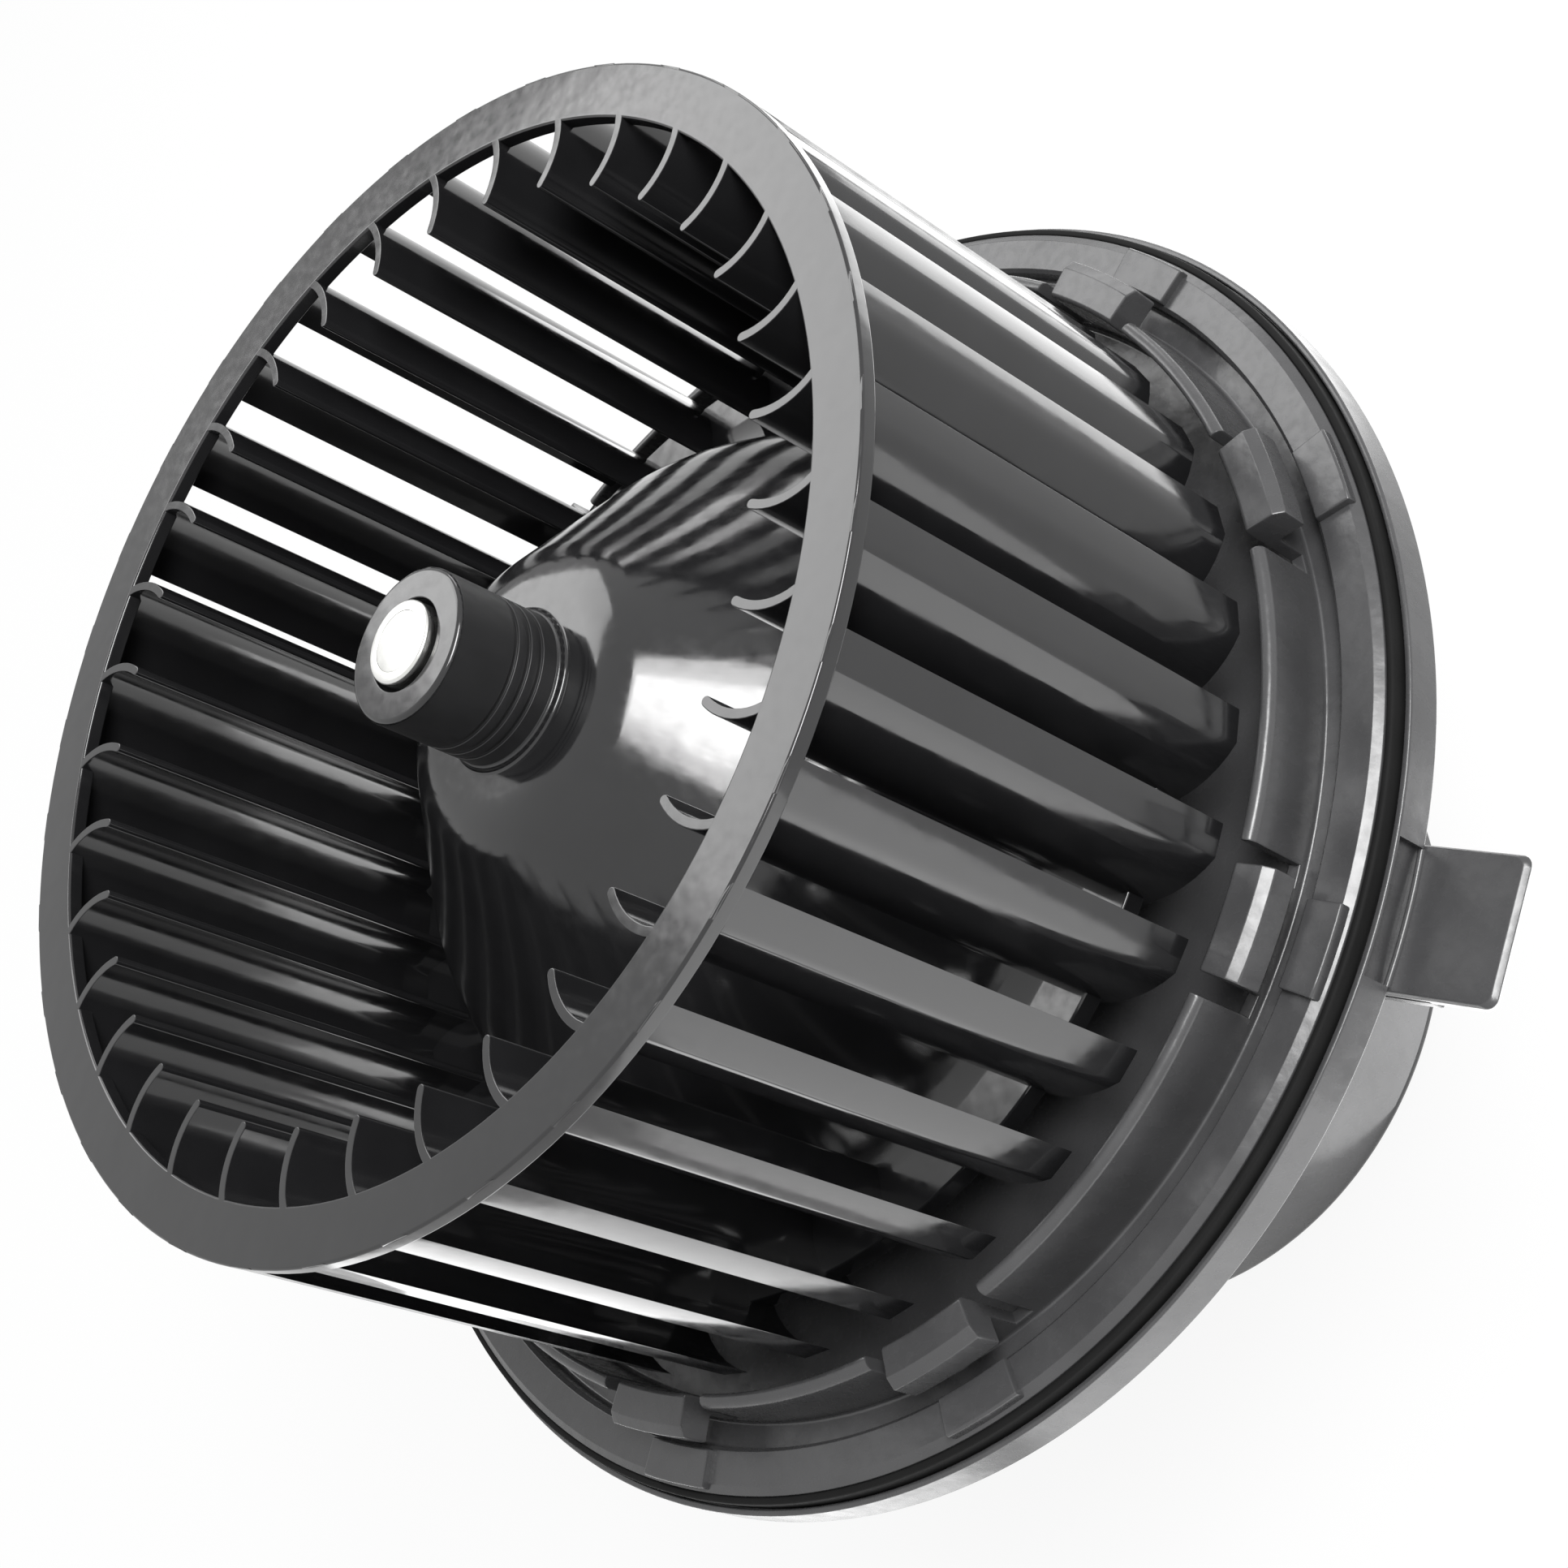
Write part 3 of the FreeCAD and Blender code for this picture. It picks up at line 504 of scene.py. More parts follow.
# Dull solid such as ferrite, carbon, felt or compound: a grain of two tones
def grained(name, code, roughness, grain_size, depth):
    material, tree, place = new_material(name)
    grain = add_node(tree, "ShaderNodeTexNoise", inputs={
        "Vector": place, "Scale": scale_of(grain_size), "Detail": 3.0})
    colour = linear(code)
    relief = {"Strength": depth, "Distance": 0.1 * mm, "Height": grain.outputs["Fac"]}
    return finished(material, grain, tone(colour, 0.6), tone(colour, 1.4), relief, {
        "Roughness": roughness, "IOR": 1.5})


# Enamelled copper wire in tight turns: ridges a wire apart under a clear varnish, with painted shade
# that darkens the valleys between the turns
def wound_wire(name, code, wire):
    material, tree, place = new_material(name)
    ridges = add_node(tree, "ShaderNodeTexWave", {"bands_direction": "DIAGONAL"}, {
        "Vector": place, "Scale": scale_of(wire) / math.tau, "Distortion": 1.5})
    colour = linear(code)
    relief = {"Strength": 0.8, "Distance": wire / 2 * mm, "Height": ridges.outputs["Fac"]}
    # The dark tone is painted shade in the valleys between the turns; the pale tone is the wire's own
    # colour on the ridges
    return finished(material, ridges, tone(colour, 0.35), tone(colour), relief, {
        "Roughness": 0.32, "Metallic": 0.85, "Coat Weight": 0.6, "Coat Roughness": 0.15})


# Meshes

# Arc from one direction to another round a centre, as points, whose radius may grow
def arc(centre, radius, start, end, steps, growth=0.0):
    start, end = start.normalized(), end.normalized()
    return [centre + start.slerp(end, step / steps) * (radius + growth * (step / steps) ** 2)
            for step in range(steps + 1)]


# Points of an outline from its corners, each with an optional rounding
def rounded(corners, steps=corner_steps):
    points = []
    count = len(corners)
    for index, corner in enumerate(corners):
        place = Vector(corner[:2])
        size = corner[2] if len(corner) > 2 else 0.0
        if size <= 0:
            points.append(place)
            continue
        back = (Vector(corners[index - 1][:2]) - place).normalized()
        ahead = (Vector(corners[(index + 1) % count][:2]) - place).normalized()
        half = back.angle(ahead) / 2
        reach = size / math.tan(half)
        centre = place + (back + ahead).normalized() * (size / math.sin(half))
        points += arc(centre, size, place + back * reach - centre, place + ahead * reach - centre,
                      steps)
    return points


# Solid turned from an outline of (radius, height) points, all round or over a span
def revolve(mesh, outline, steps, start=0.0, span=360.0):
    closed = span >= 360.0
    poles = {index: mesh.verts.new(Vector((0, 0, z)) * mm)
             for index, (r, z) in enumerate(outline) if r == 0}
    rings = []
    for step in range(steps if closed else steps + 1):
        turn = math.radians(start + span * step / steps)
        rings.append([poles.get(index) or
                      mesh.verts.new(Vector((r * math.cos(turn), r * math.sin(turn), z)) * mm)
                      for index, (r, z) in enumerate(outline)])
    for step in range(steps):
        near, far = rings[step], rings[(step + 1) % len(rings)]
        for index in range(len(outline)):
            after = (index + 1) % len(outline)
            corners = dict.fromkeys((near[index], far[index], far[after], near[after]))
            if len(corners) > 2:
                mesh.faces.new(list(corners))
    if not closed:
        mesh.faces.new(rings[0])
        mesh.faces.new(rings[-1][::-1])


# Solid through like outlines, each at its height, from the lowest up
def stack(mesh, layers):
    rings = [[mesh.verts.new(Vector((x, y, height)) * mm) for x, y in outline]
             for outline, height in layers]
    mesh.faces.new(rings[0][::-1])
    mesh.faces.new(rings[-1])
    for under, over in zip(rings, rings[1:]):
        for index in range(len(under)):
            after = (index + 1) % len(under)
            mesh.faces.new((under[index], under[after], over[after], over[index]))


# Solid of an outline in the XY plane between two heights
def prism(mesh, outline, low, high):
    stack(mesh, ((outline, low), (outline, high)))


# Box between two values on each axis
def block(mesh, x_low, x_high, y_low, y_high, low, high):
    prism(mesh, ((x_low, y_low), (x_high, y_low), (x_high, y_high), (x_low, y_high)), low, high)


# Rounds the sharp edges of a mesh
def soften(mesh, size, sharp=edge_sharp):
    mesh.normal_update()
    edges = [edge for edge in mesh.edges
             if len(edge.link_faces) == 2 and edge.calc_face_angle() > math.radians(sharp)]
    bmesh.ops.bevel(mesh, geom=edges, offset=size * mm, offset_type="OFFSET", segments=2,
                    profile=0.5, affect="EDGES", clamp_overlap=True)


# New object of a mesh, with its faces turned outwards
def new_object(mesh, name):
    bmesh.ops.recalc_face_normals(mesh, faces=mesh.faces)
    data = bpy.data.meshes.new(name)
    mesh.to_mesh(data)
    item = bpy.data.objects.new(name, data)
    bpy.context.scene.collection.objects.link(item)
    return item


# Adds what the first holder's modifiers make to a mesh, and removes the holders
def take_result(mesh, *holders):
    graph = bpy.context.evaluated_depsgraph_get()
    made = bpy.data.meshes.new_from_object(holders[0].evaluated_get(graph))
    mesh.from_mesh(made)
    bpy.data.meshes.remove(made)
    for holder in holders:
        data = holder.data
        holder.modifiers.clear()
        bpy.data.objects.remove(holder)
        bpy.data.meshes.remove(data)


# Cuts the solid of one mesh out of another
def cut_out(mesh, tool):
    body, cutter = new_object(mesh, "body"), new_object(tool, "tool")
    cut = body.modifiers.new("Cut", "BOOLEAN")
    cut.operation = "DIFFERENCE"
    cut.solver = "EXACT"
    cut.object = cutter
    mesh.clear()
    take_result(mesh, body, cutter)
    tool.free()


# Adds a finished part to a moulding
def add_part(mesh, part):
    data = bpy.data.meshes.new("part")
    part.to_mesh(data)
    part.free()
    mesh.from_mesh(data)
    bpy.data.meshes.remove(data)


# Makes the object of a finished mesh, smooth but for its sharp edges
def new_piece(mesh, name, material):
    bmesh.ops.remove_doubles(mesh, verts=mesh.verts, dist=merge_distance * mm)
    bmesh.ops.recalc_face_normals(mesh, faces=mesh.faces)
    for face in mesh.faces:
        face.smooth = True
    for edge in mesh.edges:
        edge.smooth = (len(edge.link_faces) == 2 and
                       edge.calc_face_angle() < math.radians(drawn_sharp))
    piece = new_object(mesh, name)
    mesh.free()
    piece.data.materials.append(material)
    weighted = piece.modifiers.new("Flat faces stay flat", "WEIGHTED_NORMAL")
    weighted.keep_sharp = True
    return piece


# Sets a new piece to move with a body, and hides the model nodes that it takes the place of
def join_frame(piece, body, slot, *nodes):
    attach(piece, body)
    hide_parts(*nodes)


# Geometry Nodes tree that sets copies of a mesh round the shaft
def turned_copies_tree():
    tree = bpy.data.node_groups.new("Turned copies", "GeometryNodeTree")
    for name, kind in (("Geometry", "Geometry"), ("Count", "Int"), ("First angle", "Float"),
                       ("Material", "Material")):
        tree.interface.new_socket(name, in_out="INPUT", socket_type="NodeSocket" + kind)
    tree.interface.new_socket("Geometry", in_out="OUTPUT", socket_type="NodeSocketGeometry")
    given = add_node(tree, "NodeGroupInput").outputs
    points = add_node(tree, "GeometryNodePoints", inputs={"Count": given["Count"]})
    index = add_node(tree, "GeometryNodeInputIndex")
    step = add_node(tree, "ShaderNodeMath", {"operation": "DIVIDE"}, {0: math.tau, 1: given["Count"]})
    turn = add_node(tree, "ShaderNodeMath", {"operation": "MULTIPLY_ADD"}, {
        0: index.outputs[0], 1: step.outputs[0], 2: given["First angle"]})
    angles = add_node(tree, "ShaderNodeCombineXYZ", inputs={"Z": turn.outputs[0]})
    copies = add_node(tree, "GeometryNodeInstanceOnPoints", inputs={
        "Points": points.outputs[0], "Instance": given["Geometry"], "Rotation": angles.outputs[0]})
    real = add_node(tree, "GeometryNodeRealizeInstances", inputs={"Geometry": copies.outputs[0]})
    done = add_node(tree, "GeometryNodeSetMaterial", inputs={
        "Geometry": real.outputs[0], "Material": given["Material"]})
    add_node(tree, "NodeGroupOutput", inputs={"Geometry": done.outputs[0]})
    return tree


# Adds copies of a part, set round the shaft by Geometry Nodes, to a mesh
def add_turned_copies(mesh, part, count, first_angle, material):
    holder = new_object(part, "one copy")
    part.free()
    tree = bpy.data.node_groups.get("Turned copies") or turned_copies_tree()
    modifier = holder.modifiers.new("Turned copies", "NODES")
    modifier.node_group = tree
    values = {"Count": count, "First angle": first_angle, "Material": material}
    for item in tree.interface.items_tree:
        if item.in_out == "INPUT" and item.name in values:
            modifier[item.identifier] = values[item.name]
    take_result(mesh, holder)


# Blower wheel

# Outline of one blade: a strip bent twice, its outer end a little thicker and cut to the
# rim's circle, which leaves a wide land on it
def blade_outline(thickness, edge):
    half = thickness / 2
    knee = Vector((rim_radius - rim_width - knee_inset, 0))
    tip = Vector((knee.x - blade_inner_depth, 0))
    half_chord = blade_inner_depth / 2
    inner_bend = (half_chord ** 2 + blade_bow ** 2) / (2 * blade_bow)
    inner_centre = Vector((knee.x - half_chord, inner_bend - blade_bow))
    sweep = math.radians(blade_sweep)
    crossing = Vector((math.cos(sweep), math.sin(sweep))) * rim_radius
    towards = (inner_centre - knee).normalized()
    reach = crossing - knee
    outer_bend = reach.dot(reach) / (2 * reach.dot(towards))
    outer_centre = knee + towards * outer_bend
    limit = rim_radius - edge / 10
    back = end_on_rim(outer_centre, outer_bend + half + blade_swell, limit)
    face = end_on_rim(outer_centre, outer_bend - half, limit)
    points = arc(inner_centre, inner_bend + half, tip - inner_centre, knee - inner_centre,
                 blade_inner_steps)
    points += arc(outer_centre, outer_bend + half, knee - outer_centre, back - outer_centre,
                  blade_outer_steps, blade_swell)[1:]
    points += arc(outer_centre, outer_bend - half, face - outer_centre, knee - outer_centre,
                  blade_outer_steps)
    points += arc(inner_centre, inner_bend - half, knee - inner_centre, tip - inner_centre,
                  blade_inner_steps)[1:]
    nose = (tip - inner_centre).normalized()
    side = Vector((nose.y, -nose.x))
    points += [tip + (side * math.sin(turn) - nose * math.cos(turn)) * half
               for turn in half_round[1:-1]]
    return points


# Where a circle of the blade's section meets the rim's circle, on the swept side
def end_on_rim(centre, radius, limit):
    distance = centre.length
    along = (distance ** 2 + limit ** 2 - radius ** 2) / (2 * distance)
    across = math.sqrt(max(limit ** 2 - along ** 2, 0.0))
    ahead = centre / distance
    side = Vector((-ahead.y, ahead.x))
    options = [ahead * along + side * across, ahead * along - side * across]
    sweep = math.radians(blade_sweep)
    return min(options, key=lambda point: abs(math.atan2(point.y, point.x) - sweep))


def one_blade(thickness, edge):
    mesh = bmesh.new()
    prism(mesh, blade_outline(thickness, edge), wheel_bottom, wheel_top - edge / 10)
    soften(mesh, edge, blade_sharp)
    return mesh


# Line of the bell from the boss to the base plate, each point with its heading
def bell_line():
    def along(heading):
        angle = math.radians(heading)
        return Vector((math.sin(angle), -math.cos(angle)))

    def normal(heading):
        return along(heading - 90)

    line = [(Vector((shoulder_radius, wheel_top - shoulder_depth)), 90.0)]

    def bend(new_heading, radius, steps):
        start, heading = line[-1]
        side = 1 if new_heading < heading else -1
        centre = start + normal(heading) * (side * radius)
        for step in range(1, steps + 1):
            turned = heading + (new_heading - heading) * step / steps
            line.append((centre - normal(turned) * (side * radius), turned))

    def run(length):
        start, heading = line[-1]
        line.append((start + along(heading) * length, heading))

    bend(cone_heading, shoulder_bend, shoulder_steps)
    cone_end = can_radius + cone_over_can
    run((cone_end - line[-1][0].x) / math.sin(math.radians(cone_heading)))
    bend(skirt_heading, bell_bend, bell_steps)
    run(skirt_run)
    bend(flare_heading, flare_bend, flare_steps)
    outer = [point for point, heading in line]
    inner = [point + normal(heading) * bell_wall for point, heading in line]
    return outer, inner


# Outside of the boss down to the shoulder, with its grooves and collar
def boss_line(edge):
    top = wheel_top - boss_depth
    shoulder = wheel_top - shoulder_depth
    line = [(sleeve_radius + boss_recess_gap, top, edge / 2), (boss_radius, top, boss_round)]
    for depth in boss_groove_depths:
        high = wheel_top - depth
        line += [
            (boss_radius, high, groove_edge_round),
            (boss_radius - boss_groove_cut, high, groove_floor_round),
            (boss_radius - boss_groove_cut, high - boss_groove_width, groove_floor_round),
            (boss_radius, high - boss_groove_width, groove_edge_round),
        ]
    return line + [
        (boss_radius, shoulder + collar_height, collar_edge_round),
        (collar_radius, shoulder + collar_height, collar_round),
        (collar_radius, shoulder, collar_foot_round),
    ]


def wheel_body(mesh, edge, rim_edge):
    rim_inner = rim_radius - rim_width
    ring = rounded([
        (rim_inner, wheel_top, rim_edge),
        (rim_radius, wheel_top, rim_edge),
        (rim_radius, wheel_top - rim_thickness, edge),
        (rim_inner, wheel_top - rim_thickness, edge),
    ])
    revolve(mesh, ring, wheel_steps)
    outer, inner = bell_line()
    base_top = outer[-1].y
    shoulder = wheel_top - shoulder_depth
    tube_radius = sleeve_radius + tube_wall
    recess = wheel_top - boss_depth - boss_recess_depth
    line = boss_line(edge)
    line += [tuple(point) for point in outer]
    line += [
        (rim_inner, base_top, edge),
        (rim_inner, base_top - base_thickness, edge),
        (inner[-1].x, base_top - base_thickness, edge),
    ]
    line += [tuple(point) for point in reversed(inner)]
    line += [
        (tube_radius, shoulder - bell_wall, tube_foot_round),
        (tube_radius, tube_bottom, edge),
        (sleeve_radius, tube_bottom),
        (sleeve_radius, recess),
        (sleeve_radius + boss_recess_gap, recess),
    ]
    revolve(mesh, rounded(line), wheel_steps)


class BLOWER_OT_wheel(bpy.types.Operator):
    """Make the blower wheel: rim ring, blades, base plate, bell and boss in one moulding"""
    bl_idname = "blower.wheel"
    bl_label = "Blower wheel"

    def execute(self, context):
        edge = sizes().edge_round / mm
        colour = context.scene.blower_colours.wheel
        material = moulded_plastic("Glass-filled wheel plastic", colour, 0.11, 1.57, (1.0, 1.0, 0.5),
                                   hollow=0.06, streak=0.001, dull_boss=True)
        mesh = bmesh.new()
        wheel_body(mesh, edge, sizes().rim_round / mm)
        blade = one_blade(sizes().blade_thickness / mm, sizes().blade_edge / mm)
        add_turned_copies(mesh, blade, sizes().blade_count, sizes().blade_phase, material)
        piece = new_piece(mesh, "wheel_moulding", material)
        join_frame(piece, "rotor", "wheel_plastic", "blower_wheel")
        return {"FINISHED"}


class BLOWER_OT_sleeve(bpy.types.Operator):
    """Make the metal sleeve in the boss and the end of the shaft"""
    bl_idname = "blower.sleeve"
    bl_label = "Sleeve and shaft"

    def execute(self, context):
        bright = metal("Bright turned steel", "e9e9e6", 0.22)
        mesh = bmesh.new()
        revolve(mesh, rounded([
            (shaft_radius, tube_bottom),
            (sleeve_radius, tube_bottom, sleeve_foot_round),
            (sleeve_radius, sleeve_top, sleeve_round),
            (shaft_radius, sleeve_top),
        ]), metal_steps)
        join_frame(new_piece(mesh, "sleeve_turned", bright), "rotor", "sleeve_metal", "hub_sleeve")
        mesh = bmesh.new()
        ground_radius = shaft_radius - shaft_gap
        revolve(mesh, rounded([
            (0, shaft_bottom),
            (ground_radius, shaft_bottom, plain_round),
            (ground_radius, sleeve_top, fine_round),
            (0, sleeve_top),
        ]), metal_steps)
        join_frame(new_piece(mesh, "shaft_ground", bright), "rotor", "shaft_steel", "motor_shaft")
        return {"FINISHED"}


# Mounting housing

def housing_body(mesh, edge):
    wall_outer = wall_inner + wall_thickness
    ledge_inner = wall_outer + groove_width
    ledge_outer = seal_outer - seal_thickness
    lip_inner = flange_radius - lip_width
    skirt_inner = flange_radius - skirt_wall
    inner_front = can_radius + front_rubber
    inner_rear = can_radius + rear_rubber
    outer_rear = inner_rear + cup_wall
    outer_front = outer_rear + cup_draft
    core_inner = ledge_inner + ledge_core_wall
    core_outer = ledge_outer - ledge_core_wall
    roof = ledge_height - plate_thickness
    revolve(mesh, rounded([
        (inner_front, mouth_rise, edge),
        (inner_front + mouth_wall, mouth_rise, edge),
        (inner_front + mouth_wall, 0, root_round),
        (wall_inner, 0, root_round),
        (wall_inner, lug_slot_floor, edge),
        (wall_outer, lug_slot_floor, edge),
        (wall_outer, 0, groove_round),
        (ledge_inner, 0, groove_round),
        (ledge_inner, ledge_height - ledge_inner_chamfer, fine_round),
        (ledge_inner + ledge_inner_chamfer, ledge_height, fine_round),
        (ledge_outer - ledge_chamfer_run, ledge_height, small_round),
        (ledge_outer, ledge_height - ledge_chamfer, small_round),
        (ledge_outer, -seal_groove_depth, seal_groove_round),
        (lip_inner, -seal_groove_depth, seal_groove_round),
        (lip_inner, 0, small_round),
        (flange_radius, 0, lip_round),
        (flange_radius, -skirt_depth, plain_round),
        (skirt_inner, -skirt_depth, plain_round),
        (skirt_inner, -plate_thickness, root_round),
        (core_outer, -plate_thickness, plain_round),
        (core_outer, roof, plain_round),
        (core_inner, roof, plain_round),
        (core_inner, -plate_thickness, plain_round),
        (outer_front, -plate_thickness, cup_root_round),
        (outer_rear, cup_rear, cup_round),
        (inner_rear, cup_rear, cup_inner_round),
        (inner_rear + cup_draft, -plate_thickness, cup_inner_root_round),
        (inner_front, -plate_thickness, edge),
    ]), housing_steps)


# Pocket in the skirt in front of the side tab
def cut_pocket(mesh):
    half = tab_width / 2 - tab_pocket_margin
    tool = bmesh.new()
    block(tool, flange_radius - tab_pocket_depth, flange_radius + tab_pocket_depth, -half, half,
          -skirt_depth - tab_thickness, -tab_pocket_roof)
    cut_out(mesh, tool)


# Stretch of the locating wall between two slots
def wall_stretch(mesh, start, span, edge):
    part = bmesh.new()
    steps = max(2, round(span / 360.0 * housing_steps))
    revolve(part, rounded([
        (wall_inner, lug_slot_floor / 2),
        (wall_inner + wall_thickness, lug_slot_floor / 2),
        (wall_inner + wall_thickness, wall_top, wall_top_round),
        (wall_inner, wall_top, wall_top_inner_round),
    ]), steps, start, span)
    soften(part, edge, wall_sharp)
    add_part(mesh, part)


def snap_lug(mesh, centre, edge):
    part = bmesh.new()
    wall_outer = wall_inner + wall_thickness
    tip = wall_outer + lug_reach
    low = wall_top - lug_height
    revolve(part, rounded([
        (wall_inner, lug_slot_floor / 2),
        (wall_outer, lug_slot_floor / 2),
        (wall_outer, low, lug_root_round),
        (tip, low, lug_under_round),
        (tip, wall_top - lug_chamfer, lug_edge_round),
        (tip - lug_chamfer_run, wall_top, plain_round),
        (wall_inner, wall_top, lug_inner_round),
    ]), lug_steps, centre - lug_span / 2, lug_span)
    soften(part, edge, wall_sharp)
    add_part(mesh, part)


def seat_pad(mesh, centre, edge):
    part = bmesh.new()
    outer = seal_outer - seal_thickness - pad_inset
    inner = outer - pad_width
    revolve(part, rounded([
        (inner, ledge_height - ledge_chamfer),
        (outer, ledge_height - ledge_chamfer),
        (outer, ledge_height + pad_height, pad_round),
        (inner, ledge_height + pad_height, pad_round),
    ]), pad_steps, centre - pad_span / 2, pad_span)
    soften(part, edge, wall_sharp)
    add_part(mesh, part)


def locating_wall(mesh, edge):
    slot_half = math.degrees(lug_slot / 2 / wall_inner)
    reach = lug_span / 2 + 2 * slot_half
    centres = sorted(angle % 360.0 for angle in lug_angles)
    for index, centre in enumerate(centres):
        after = centres[(index + 1) % len(centres)] + (360.0 if index == len(centres) - 1 else 0.0)
        start = centre + reach
        wall_stretch(mesh, start, after - reach - start, edge)
        snap_lug(mesh, centre, edge)
        seat_pad(mesh, centre, edge)


def stiffening_rib(edge):
    part = bmesh.new()
    cup_front = can_radius + rear_rubber + cup_wall + cup_draft
    block(part, cup_front - cup_wall / 2, flange_radius - skirt_wall / 2, -rib_thickness / 2,
          rib_thickness / 2, -skirt_depth + rib_setback, -plate_thickness / 2)
    soften(part, edge)
    return part


def side_tab(mesh, edge):
    half = tab_width / 2
    low = -skirt_depth - tab_thickness
    root = flange_radius - tab_root
    plate = bmesh.new()
    under, full, top = (rounded([
        (root, -side), (tip, -side, tab_corner), (tip, side, tab_corner), (root, side),
    ], fine_corner_steps) for side, tip in (
        (half, tab_tip - tab_tip_draft), (half, tab_tip), (half - tab_side_run, tab_tip - tab_tip_run)))
    stack(plate, ((under, low), (full, -skirt_depth - tab_tip_chamfer), (top, -skirt_depth)))
    soften(plate, edge / 2, tab_sharp)
    add_part(mesh, plate)
    bead = bmesh.new()
    span = math.degrees((half - tab_pocket_margin) / flange_radius)
    outline = [(flange_radius + tab_bead * (math.cos(turn) - 1),
                tab_bead * math.sin(turn) - skirt_depth) for turn in half_round]
    revolve(bead, outline, bead_steps, -span, 2 * span)
    add_part(mesh, bead)
    foot = bmesh.new()
    wall_middle = flange_radius - (skirt_wall + tab_pocket_depth) / 2
    block(foot, root, wall_middle, -half, half, low, -plate_thickness / 2)
    for side in (-half, half - tab_rib_width):
        block(foot, root, flange_radius + tab_rib_reach, side, side + tab_rib_width,
              low - tab_rib_height, low + tab_thickness / 2)
    soften(foot, edge)
    add_part(mesh, foot)


def cover_post(edge):
    part = bmesh.new()
    cover_top = cup_rear + cover_thickness
    revolve(part, rounded([
        (screw_radius, cover_top), (post_radius, cover_top, edge),
        (post_radius, cover_top + post_height, edge), (screw_radius, cover_top + post_height),
    ]), post_steps)
    bmesh.ops.translate(part, verts=part.verts, vec=Vector((post_circle, 0, 0)) * mm)
    return part


class BLOWER_OT_housing(bpy.types.Operator):
    """Make the mounting housing: flange, locating wall, lugs, tab, ribs and motor cup"""
    bl_idname = "blower.housing"
    bl_label = "Mounting housing"

    def execute(self, context):
        edge = sizes().edge_round / mm
        colour = context.scene.blower_colours.housing
        material = moulded_plastic("Glass-filled housing plastic", colour, 0.25, 1.55, (1.0, 1.0, 0.6))
        mesh = bmesh.new()
        housing_body(mesh, edge)
        cut_pocket(mesh)
        locating_wall(mesh, edge)
        side_tab(mesh, edge)
        add_turned_copies(mesh, stiffening_rib(edge), rib_count, math.radians(rib_phase), material)
        add_turned_copies(mesh, cover_post(edge), post_count, math.radians(post_phase), material)
        piece = new_piece(mesh, "housing_moulding", material)
        join_frame(piece, "housing", "housing_plastic", "mounting_housing")
        return {"FINISHED"}


class BLOWER_OT_seal(bpy.types.Operator):
    """Make the rubber seal in the groove round the ledge"""
    bl_idname = "blower.seal"
    bl_label = "Flange seal"

    def execute(self, context):
        mesh = bmesh.new()
        seal_inner = seal_outer - seal_thickness + seal_gap
        revolve(mesh, rounded([
            (seal_inner, seal_low.z),
            (seal_outer, seal_low.z),
            (seal_outer, seal_high.z, seal_round),
            (seal_inner, seal_high.z, seal_inner_round),
        ]), housing_steps)
        material = rubber("Moulded seal rubber", context.scene.blower_colours.seal)
        join_frame(new_piece(mesh, "seal_ring", material), "housing", "seal_rubber", "flange_seal")
        return {"FINISHED"}


# Gives a model node its material
def dress(material, *nodes):
    for name in nodes:
        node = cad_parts[name]
        for slot in node.material_slots:
            slot.material = material


# Copy of a model node with its flat faces joined and its edges rounded
def rounded_copy(node, name, material, body, slot, edge):
    mesh = bmesh.new()
    mesh.from_mesh(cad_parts[node].data)
    bmesh.ops.remove_doubles(mesh, verts=mesh.verts, dist=merge_distance * mm)
    bmesh.ops.dissolve_limit(mesh, angle_limit=math.radians(flat_limit), verts=mesh.verts,
                             edges=mesh.edges)
    soften(mesh, edge, copy_sharp)
    join_frame(new_piece(mesh, name, material), body, slot, node)


# Pan head screw, point up, with a cross recess in its head
def cover_screw():
    mesh = bmesh.new()
    head = cup_rear + screw_head_height
    revolve(mesh, rounded([
        (0, cup_rear),
        (screw_head_radius, cup_rear, screw_head_round),
        (screw_head_radius, head, screw_rim_round),
        (screw_radius, head),
        (screw_radius, cup_rear + screw_length - screw_radius),
        (0, cup_rear + screw_length),
    ], fine_corner_steps), screw_steps)
    for wide, deep in ((recess_span, recess_width), (recess_width, recess_span)):
        tool = bmesh.new()
        block(tool, -wide / 2, wide / 2, -deep / 2, deep / 2, cup_rear - recess_depth,
              cup_rear + recess_depth)
        cut_out(mesh, tool)
    bmesh.ops.translate(mesh, verts=mesh.verts, vec=Vector((post_circle, 0, 0)) * mm)
    return mesh


class BLOWER_OT_rear(bpy.types.Operator):
    """Make the rear cover, its screws and its terminals"""
    bl_idname = "blower.rear"
    bl_label = "Rear cover"

    def execute(self, context):
        edge = sizes().edge_round / mm
        colour = context.scene.blower_colours.housing
        plastic = moulded_plastic("Glass-filled cover plastic", colour, 0.3, 1.52, (1.0, 1.0, 1.0))
        rounded_copy("rear_cover", "cover_moulding", plastic, "housing", "cover_plastic", edge)
        steel = metal("Zinc-plated screw steel", "b9bcbf", 0.34)
        mesh = bmesh.new()
        add_turned_copies(mesh, cover_screw(), post_count, math.radians(post_phase), steel)
        join_frame(new_piece(mesh, "screws_plated", steel), "housing", "screw_steel", "cover_screws")
        brass = metal("Bright terminal brass", "d9b36a", 0.28, round_lines=False)
        for side in ("left", "right"):
            rounded_copy("terminal_" + side, "terminal_blade_" + side, brass, "housing",
                         "terminal_brass", terminal_round)
        return {"FINISHED"}


